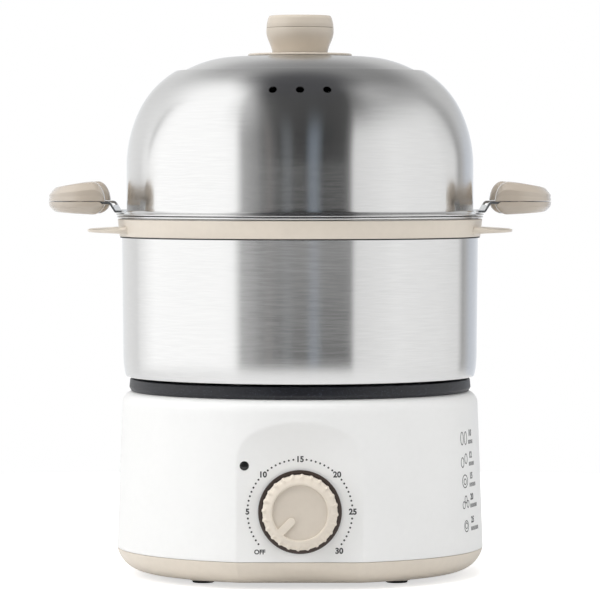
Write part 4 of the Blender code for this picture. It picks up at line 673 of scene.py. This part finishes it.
# Heating dish. Die-cast aluminium with a dark blue-grey non-stick coating full of fine pale specks. Its rim
# stands 7 mm above the housing, a small skirt closes the gap below it, and the pot's foot drops inside it.
def speckled(name):
    made, tree, shader, place = material(name)
    fine = noise(tree, place, 1400.0, 3.0, 0.7)
    grit = node(tree, "ShaderNodeTexVoronoi", {"Vector": place, "Scale": 1300.0}, feature="F1").outputs[0]
    specks = smooth_range(tree, grit, 0.15, 0.42, 1.0, 0.0)
    specks = maths(tree, "MULTIPLY", specks, smooth_range(tree, noise(tree, place, 700.0), 0.4, 0.65))
    cloud = mixed(tree, noise(tree, place, 40.0, 3.0), (0.004, 0.0045, 0.007, 1), (0.008, 0.009, 0.014, 1))
    body = mixed(tree, specks, cloud, (0.05, 0.055, 0.078, 1))
    tree.links.new(body, shader.inputs["Base Color"])
    tree.links.new(smooth_range(tree, fine, 0.3, 0.7, 0.36, 0.52), shader.inputs["Roughness"])
    height = maths(tree, "MULTIPLY_ADD", specks, 0.6, fine)
    bump = node(tree, "ShaderNodeBump", {"Strength": 0.3, "Distance": 0.0004, "Height": height})
    tree.links.new(bump.outputs[0], shader.inputs["Normal"])
    shader.inputs["Specular IOR Level"].default_value = 0.45
    return made


coating = speckled("speckled_coating")
dish = [
    (0, 86.0), (79, 86.0, 1), (83, 90.0, 2), (89.7, 109.5, 1), (89.7, 112.8),
    (102.2, 112.8, 0.1), (102.4, 112.1, 0.1), (103.2, 112.1, 0.3), (104.4, 114.4, 0.9), (103.9, 119.5, 0.7),
    (97.4, 119.6, 0.8), (96.6, 115.0, 0.6), (88.2, 115.0, 2), (79.8, 94.0, 4), (75.8, 90.0, 3), (0, 90.0),
]
piece("dish", turned(eased(dish), 200), coating, "base", "black_coating", "heater_dish")


# Pot. Deep-drawn stainless steel, brushed round its axis on the outside, with a rolled rim. The wall draws in
# over its lowest part and steps down to a floor ring inside the dish.
def brushed(name, shade_low, shade_high, line_scale=3400.0, roughness=(0.145, 0.18)):
    """Steel brushed round the Z axis: streaks follow the circles, reflections stretch across them."""
    made, tree, shader, place = material(name)
    axes = node(tree, "ShaderNodeSeparateXYZ", {0: place}).outputs
    level = node(tree, "ShaderNodeCombineXYZ", {0: axes[0], 1: axes[1]}).outputs[0]
    radius = node(tree, "ShaderNodeVectorMath", {0: level}, operation="LENGTH").outputs["Value"]
    along = maths(tree, "SUBTRACT", radius, axes[2])

    def streaks(around, across, detail):
        east = maths(tree, "MULTIPLY", axes[0], around)
        north = maths(tree, "MULTIPLY", axes[1], around)
        line = maths(tree, "MULTIPLY", along, across)
        lines = node(tree, "ShaderNodeCombineXYZ", {0: east, 1: north, 2: line}).outputs[0]
        return noise(tree, lines, 1.0, detail, 0.6)

    fine = streaks(70.0, line_scale, 1.0)
    broad = streaks(40.0, 1100.0, 1.0)
    both = maths(tree, "MULTIPLY_ADD", fine, 0.8, maths(tree, "MULTIPLY", broad, 0.2))
    spread = smooth_range(tree, both, 0.36, 0.64)
    tree.links.new(mixed(tree, spread, shade_low, shade_high), shader.inputs["Base Color"])
    rough = smooth_range(tree, fine, 0.3, 0.7, *roughness)
    tree.links.new(rough, shader.inputs["Roughness"])
    bump = node(tree, "ShaderNodeBump", {"Strength": 0.014, "Distance": 0.0002, "Height": both})
    tree.links.new(bump.outputs[0], shader.inputs["Normal"])
    back = maths(tree, "MULTIPLY", axes[1], -1.0)
    circle = node(tree, "ShaderNodeCombineXYZ", {0: back, 1: axes[0]}).outputs[0]
    tangent = node(tree, "ShaderNodeVectorMath", {0: circle}, operation="NORMALIZE").outputs[0]
    tree.links.new(tangent, shader.inputs["Tangent"])
    shader.inputs["Metallic"].default_value = 1.0
    shader.inputs["Anisotropic"].default_value = 0.97
    shader.inputs["Anisotropic Rotation"].default_value = 0.25
    return made


STEEL_SHEET = 0.8
POT_FOOT = 122.7
POT_BEND = 139.5
POT_RADIUS = 108.1
DRAW_IN = 0.00026


def foot_wall(inset):
    """Lower part of the pot's wall, which draws in more and more towards the foot, from the bottom up."""
    heights = [POT_FOOT + (POT_BEND - POT_FOOT) * step / 20 for step in range(21)]
    return [(POT_RADIUS - DRAW_IN * (POT_BEND - z) ** 3 - inset, z) for z in heights]


steel = brushed("brushed_steel", (0.69, 0.69, 0.687, 1), (0.722, 0.722, 0.718, 1))
outer_foot, inner_foot = foot_wall(0), foot_wall(STEEL_SHEET)
pot = eased([(84.0, 115.6), (94.8, 115.6, 1.2), (96.3, 120.9, 1.0), (106.4, 120.9, 2.1), outer_foot[0]])[:-1]
pot += outer_foot + eased([outer_foot[-1], (108.9, 217.65, 0.4), (111.4, 217.65)])[1:-1]
pot += arc((111.4, 218.25), 0.6, -90, 90, 12)
pot += eased([(111.4, 218.85), (108.4, 218.85, 0.5), (108.1, 218.0, 0.5), (107.3, POT_BEND)])[1:-1]
pot += inner_foot[::-1]
pot += eased([inner_foot[0], (105.6, 121.7, 1.3), (95.9, 121.7, 1.2), (94.4, 116.4, 0.8), (84.0, 116.4)])[1:]
piece("pot_wall", turned(pot, 256), steel, "pot", "brushed_steel", "pot_shell")


# Pot collar. A beige moulded band under the rolled rim, in one with a flat loop ear on each side to lift the
# pot by; a thin ring of dark rubber below it is painted shade, standing for the shadow line towards the wall below.
def squared(value, power):
    return math.copysign(abs(value) ** power, value)


def loop_path(start, reach, half_width, steps):
    """Plan of a loop that leaves the wall and comes back, with the normals that point out of it."""
    path = []
    for step in range(steps + 1):
        angle = math.pi * (step / steps - 0.5)
        out = max(math.cos(angle), 0) ** (2 / 3)
        path.append(Vector((start + reach * out, half_width * squared(math.sin(angle), 2 / 3), 0)))
    normals = []
    for index, point in enumerate(path):
        along = path[min(index + 1, steps)] - path[max(index - 1, 0)]
        if index in (0, steps):
            along = Vector((1 if index == 0 else -1, 0, 0))
        normals.append(Vector((along.y, -along.x, 0)).normalized())
    return path, normals


def bridged(stations):
    """Join closed rings of points into a tube with closed ends; points in millimetres."""
    bm = bmesh.new()
    loops = []
    for ring in stations:
        made = bmesh.ops.create_circle(bm, segments=len(ring), radius=1)
        for vert, point in zip(made["verts"], ring):
            vert.co = Vector(point) * MM
        loops.append(list({edge for vert in made["verts"] for edge in vert.link_edges}))
    for first, second in zip(loops, loops[1:]):
        bmesh.ops.bridge_loops(bm, edges=first + second)
    for ends in (loops[0], loops[-1]):
        bmesh.ops.edgeloop_fill(bm, edges=ends)
    return bm


def ear(turned_round):
    """Loop ear, thick at its roots and thin at its tip, with rounded edges."""
    start, reach, middle = 98.0, 26.9, 209.7
    thick_root, thick_tip = 4.9, 2.2
    path, normals = loop_path(start, reach, 33.0, 48)
    stations = []
    for point, normal in zip(path, normals):
        share = (point.x - start) / reach
        half_height = (thick_root + (thick_tip - thick_root) * share ** 0.8) / 2
        lift = middle + 0.45 - 0.25 * share
        root = max(0, 1 - max(0, point.x - 104) / 9) ** 2
        half_height += 0.5 * root
        ring = []
        for step in range(20):
            angle = math.tau * step / 20
            side = squared(math.cos(angle), 0.55) * (4.8 + 0.3 * root)
            ring.append((*(point + normal * side).xy, lift + squared(math.sin(angle), 0.6) * half_height))
        stations.append(ring)
    made = bridged(stations)
    made.transform(Matrix.Rotation(turned_round, 4, "Z"))
    return made


band = eased([(109.2, 206.3, 0.2), (110.2, 206.3, 0.4), (111.4, 216.9, 0.5), (109.2, 216.9, 0.2)], 4)
collar = piece("collar", turned(band, 200), beige, "pot", "beige_plastic", "pot_collar")
# Thin dark rubber ring under the collar: painted shade for the shadow line between the collar and the wall.
painted_shade_seal = eased([(109.0, 205.5, 0.2), (109.9, 205.5, 0.25), (109.9, 206.2, 0.2), (109.0, 206.2)], 3)
piece("collar_painted_shade_seal", turned(painted_shade_seal, 200), rubber, "pot", "rubber")
for turned_round in (0, math.pi):
    core = bmesh.new()
    add_rod(core, 109.6, 200, 222, sides=200)
    ear_item = piece("ear", ear(turned_round), beige, "pot", "beige_plastic")
    carve(ear_item, core)
    joined = bmesh.new()
    joined.from_mesh(ear_item.data)
    bpy.data.objects.remove(ear_item)
    carve(collar, joined, "UNION")


# Steam tray. A disc of stainless sheet with a turned-up edge, punched with three rings of round holes. It lies
# loose on the pot's floor ring.
HOLE_RING = 24
sheet_steel = brushed("tray_steel", (0.52, 0.52, 0.515, 1), (0.64, 0.64, 0.635, 1), 900.0)
steam_tray = [(0, 116.7), (87.8, 116.7, 1.2), (90.8, 119.6, 0.3), (90.1, 120.2, 0.3), (87.4, 117.5, 0.8), (0, 117.5)]
grate = piece("steam_grate", turned(eased(steam_tray), 128), sheet_steel, "tray", "brushed_steel", "steam_tray")
holes = bmesh.new()
for ring in (1, 2, 3):
    for index in range(5 * ring):
        add_rod(holes, 2.6, 113, 120, on_circle(HOLE_RING * ring, index / (5 * ring)), 24)
carve(grate, holes)


# Lid. A spun stainless dome, brushed like the pot, with a flat flange and an inner lip that sits in the pot's
# rim. The top is a raised round cap inside a narrow ledge, with three steam holes punched below it in front.
FLANGE = 220.9
LOW_BEND, HIGH_BEND = 79.0, 56.0
BEND_CHANGE, BEND_END = 25, 60
LEDGE, CAP_FLAT, CAP_RISE = 4.9, 38.0, 8.6
HOLE_DEGREES = 39
LOW_CENTRE = (26.9, FLANGE + 28.0)


def on_arc(centre, radius, degrees):
    """Point of an arc in an outline, by degrees up from the horizontal."""
    angle = math.radians(degrees)
    return centre[0] + radius * math.cos(angle), centre[1] + radius * math.sin(angle)


HIGH_CENTRE = on_arc(LOW_CENTRE, LOW_BEND - HIGH_BEND, BEND_CHANGE)


def dome(inset):
    """Outline of the dome from its wall to the axis, moved in by the sheet's thickness."""
    points = arc(LOW_CENTRE, LOW_BEND - inset, 0, BEND_CHANGE, 16)
    points += arc(HIGH_CENTRE, HIGH_BEND - inset, BEND_CHANGE, BEND_END, 24)[1:-1]
    out, up = on_arc(HIGH_CENTRE, HIGH_BEND, BEND_END)
    ledge = up - inset
    run = out - LEDGE - CAP_FLAT
    cap_round = (run ** 2 + CAP_RISE ** 2) / (2 * CAP_RISE)
    start = 90 - math.degrees(math.asin(run / cap_round))
    cap = arc((CAP_FLAT, ledge + CAP_RISE - cap_round), cap_round, start, 90, 16)
    points += eased([points[-1], (out, ledge, 0.7), (out - LEDGE, ledge, 0.5), cap[1]], 4)[1:-1]
    return points + cap[1:] + [(0, ledge + CAP_RISE)]


lid_outline = eased([(106.6, 215.0), (107.4, 215.0, 0.2), (107.4, 219.2, 0.3), (112.0, 219.33)])[1:-1]
lid_outline += arc((112.0, 219.75), 0.42, -90, 78, 10)
lid_outline += eased([lid_outline[-1], (105.9, FLANGE, 2.2), (105.9, 224.2), (105.9, 248.0)])[1:]
lid_outline += dome(0) + dome(STEEL_SHEET)[::-1]
lid_outline += eased([(105.1, 230.0), (105.1, 219.2, 0.5), (106.6, 218.0, 0.5), (106.6, 215.0)])
lid = piece("lid_dome", turned(lid_outline, 256), steel, "lid", "brushed_steel", "lid_shell", sharp=40)
holes = bmesh.new()
out, up = on_arc(HIGH_CENTRE, HIGH_BEND, HOLE_DEGREES)
leaned = Matrix.Rotation(math.radians(90 - HOLE_DEGREES), 4, "X")
for degrees in (-10.1, 0, 10.1):
    punched = Matrix.Rotation(math.radians(degrees), 4, "Z") @ moved(0, -out, up) @ leaned
    add_rod(holes, 2.45, -3, 1, punched)
    add_rod(holes, 2.45, -0.45, 0.45, punched, top_radius=3.35)
carve(lid, holes, sharp=40)


# Lid knob. Beige ABS in three mouldings: a thin base disc, a waisted grip and a cap with a parting groove
# below it. One screw from inside the lid holds them.
GRIP_FOOT = 318.3
GRIP_WAIST = 16.9
disc = [(0, 315.8), (31.2, 315.8, 0.4), (31.9, 316.6, 0.5), (31.4, 317.6, 0.5), (20.0, 318.1), (0, 318.1)]
# The knob's parts take a darker, glossier copy of the beige: the darker tone is painted shade, the gloss its finish.
knob_beige_painted_shade = moulded("beige_knob_painted_shade", (0.57, 0.505, 0.425), 0.26, grain=0.02, clouds=0.012)
piece("knob_disc", turned(eased(disc), 128), knob_beige_painted_shade, "lid", "beige_plastic", "knob_base")
grip = [(0, GRIP_FOOT), (GRIP_WAIST, GRIP_FOOT)]
for step in range(1, 17):
    height = GRIP_FOOT + 13.0 * step / 16
    blend = (1 - math.cos(math.pi * (height - 317.5) / 13.8)) / 2
    grip.append((GRIP_WAIST + 3.7 * blend, height))
grip += eased([grip[-1], (20.55, 332.6, 1), (20.5, 333.4, 0.25), (20.0, 333.4), (0, 333.4)])[1:]
piece("knob_grip", turned(grip, 128), knob_beige_painted_shade, "lid", "beige_plastic", "lid_knob")
cap = [
    (0, 333.55), (20.0, 333.55), (20.45, 333.55, 0.25), (20.3, 335.9, 3), (19.5, 339.2, 2),
    (18.6, 340.85, 0.9), (0, 340.85),
]
piece("knob_top", turned(eased(cap), 128), knob_beige_painted_shade, "lid", "beige_plastic", "knob_cap")


# Side handles of the lid. Each is two beige mouldings, screwed together from below round a bent steel
# bracket with two prongs; the parting line between them stays open a little.
SPLIT = 228.0
OPEN_LINE = 0.55
NOSE_START = 117.6
NOSE_LENGTH = 8.0


def handle_half(level, turned_round):
    """Upper (1) or lower (-1) half of a loop handle."""
    start, reach = 122.4, 23.8
    height_root, height_tip = (12.2, 8.8) if level > 0 else (7.8, 6.4)
    path, normals = loop_path(start, reach, 35.0, 60)
    nose = []
    for back in (0, 0.008, 0.03, 0.065, 0.11, 0.17, 0.24, 0.33, 0.44, 0.57, 0.72, 0.88):
        spot = Vector((NOSE_START + NOSE_LENGTH * back, path[0].y, 0))
        nose.append((spot, normals[0], math.sqrt(1 - (1 - back) ** 2)))
    nose_end = NOSE_START + NOSE_LENGTH
    stations = nose + [(point, normal, 1) for point, normal in zip(path, normals) if point.x > nose_end]
    stations += [(Vector((point.x, -point.y, 0)), normals[-1], size) for point, normal, size in reversed(nose)]
    rings = []
    for point, normal, size in stations:
        share = max(0, (point.x - start) / reach)
        seat = 1.4 * min(1, max(0, (120.5 - point.x) / 1.5)) + OPEN_LINE
        height = (height_root + (height_tip - height_root) * share ** 1.6) * max(size, 0.12)
        if level < 0:
            height = max(height + OPEN_LINE - seat, 0.4)
        size = 0.62 + 0.38 * size
        ridge = 0.38 + 0.2 * (1 - share) ** 0.6
        outer = [(7.0, 0, 0.25), (6.55, ridge * 0.5, 3), (6.75, ridge, 0.9), (3.0, 0.92, 4)]
        inner = [(-3.6, 1.0, 3.5), (-6.5, 0.6, 2), (-7.0, 0, 0.25)]
        if level < 0:
            outer = [(7.0, 0, 0.25), (6.6, 0.45, 3), (3.4, 0.95, 3.5)]
            inner = [(-3.4, 1.0, 3.5), (-6.5, 0.5, 2), (-7.0, 0, 0.25)]
        corners = [(across * size, up * height, rounding * size) for across, up, rounding in outer + inner]
        plane = SPLIT if level > 0 else SPLIT - seat
        rings.append([(*(point + normal * across).xy, plane + level * up) for across, up in eased(corners, 4)])
    made = bridged(rings)
    made.transform(Matrix.Rotation(turned_round, 4, "Z"))
    return made


def strip(profile, low, high):
    """Bent plate from its side outline in millimetres, between two places across."""
    bm = bmesh.new()
    face = bm.faces.new([bm.verts.new((x * MM, low * MM, z * MM)) for x, z in profile])
    thicken(bm, [face], (0, (high - low) * MM, 0))
    return bm


def plated(name, colour, roughness):
    """Bright plated or polished steel with fine drawing lines and faint smears."""
    made, tree, shader, place = material(name)
    smear = noise(tree, place, 60.0, 3.0)
    scratch = noise(tree, place, 900.0, 2.0)
    spread = smooth_range(tree, smear, 0.3, 0.7)
    tree.links.new(mixed(tree, spread, tint(colour, 0.92), tint(colour, 1.06)), shader.inputs["Base Color"])
    rough = smooth_range(tree, scratch, 0.3, 0.7, roughness - 0.05, roughness + 0.07)
    tree.links.new(rough, shader.inputs["Roughness"])
    bump = node(tree, "ShaderNodeBump", {"Strength": 0.05, "Distance": 0.0002, "Height": scratch})
    tree.links.new(bump.outputs[0], shader.inputs["Normal"])
    shader.inputs["Metallic"].default_value = 1.0
    return made


bright = plated("bright_steel", (0.62, 0.62, 0.615), 0.2)
# The handles take a darker copy of the beige with a clear coat: the darker tone is painted shade, the coat their
# gloss.
grip_beige_painted_shade = moulded("beige_gloss_painted_shade", (0.485, 0.42, 0.348), 0.26, grain=0.02, clouds=0.012)
grip_coat = grip_beige_painted_shade.node_tree.nodes["Principled BSDF"].inputs
grip_coat["Coat Weight"].default_value = 0.7
grip_coat["Coat Roughness"].default_value = 0.18
under = eased([(107.4, 221.0), (111.6, 221.0, 1.4), (114.9, 226.2, 1.0), (131.4, 226.2)])
over = eased([(131.4, 227.7), (114.4, 227.7, 2.4), (111.2, 222.3, 0.6), (107.4, 222.3)])
for side, turned_round in (("right", 0), ("left", math.pi)):
    for half_name, level in (("upper", 1), ("lower", -1)):
        name = half_name + "_" + side
        half = handle_half(level, turned_round)
        piece("grip_" + name, half, grip_beige_painted_shade, "lid", "beige_plastic", "handle_" + name)
    bracket_bm = strip(under + over, -37, 37)
    bracket_bm.transform(Matrix.Rotation(turned_round, 4, "Z"))
    bracket = piece("bracket_" + side, bracket_bm, bright, "lid", "bright_steel", "handle_bracket_" + side)
    fork = bmesh.new()
    add_block(fork, 24, 58, 12, moved(125.0, 0, 225))
    fork.transform(Matrix.Rotation(turned_round, 4, "Z"))
    carve(bracket, fork)


# Cord gland. A moulded strain relief of black nylon, clipped into a hole in the rear wall, with round ribs
# outside and an open slot for a flat cord.
black = moulded("black_nylon", (0.025, 0.025, 0.026), 0.5, grain=0.08, clouds=0.1)
gland = eased([
    (0, -5.7), (5.4, -5.7, 0.3), (6.4, -3.1, 0.2), (5.4, -3.1), (5.4, 0.3), (7.2, 0.3, 0.2), (7.1, 1.7, 0.4),
    (6.3, 2.0), (6.3, 2.7), (6.7, 2.9, 0.2), (6.5, 3.8, 0.3), (5.8, 4.0), (5.8, 4.7), (6.1, 4.9, 0.2),
    (5.9, 5.8, 0.3), (5.2, 6.2), (5.2, 7.0, 0.3), (0, 7.0),
], 3)
gland_piece = piece("gland", turned(gland, 64), black, "base", "dark_plastic", "cord_gland")
slot = bmesh.new()
add_block(slot, 5.4, 3.2, 20)
carve(gland_piece, slot)
gland_piece.data.transform(gland_place)


# Inner pieces and fasteners keep their CAD shapes: zinc-plated heater and screws, nylon timer case, lamp body and
# terminals, a silicone gasket and washer, a phenolic thermostat and the timer's bright shaft.
zinc = plated("zinc_plate", (0.5, 0.5, 0.52), 0.32)
nylon = moulded("natural_nylon", (0.72, 0.70, 0.64), 0.5, grain=0.06)
silicone = moulded("grey_silicone", (0.33, 0.33, 0.33), 0.65, grain=0.05)
phenolic = moulded("phenolic", (0.11, 0.08, 0.06), 0.55, grain=0.12, clouds=0.15)
by_slot = {
    "zinc_screws": zinc, "nylon": nylon, "silicone": silicone, "phenolic": phenolic, "bright_steel": bright,
}
for row in frame["record"]["subparts"]:
    finish = by_slot.get(row["material_slot"])
    kept = frame["nodes"][row["node"]]
    if finish is not None:
        kept.data.materials.clear()
        kept.data.materials.append(finish)
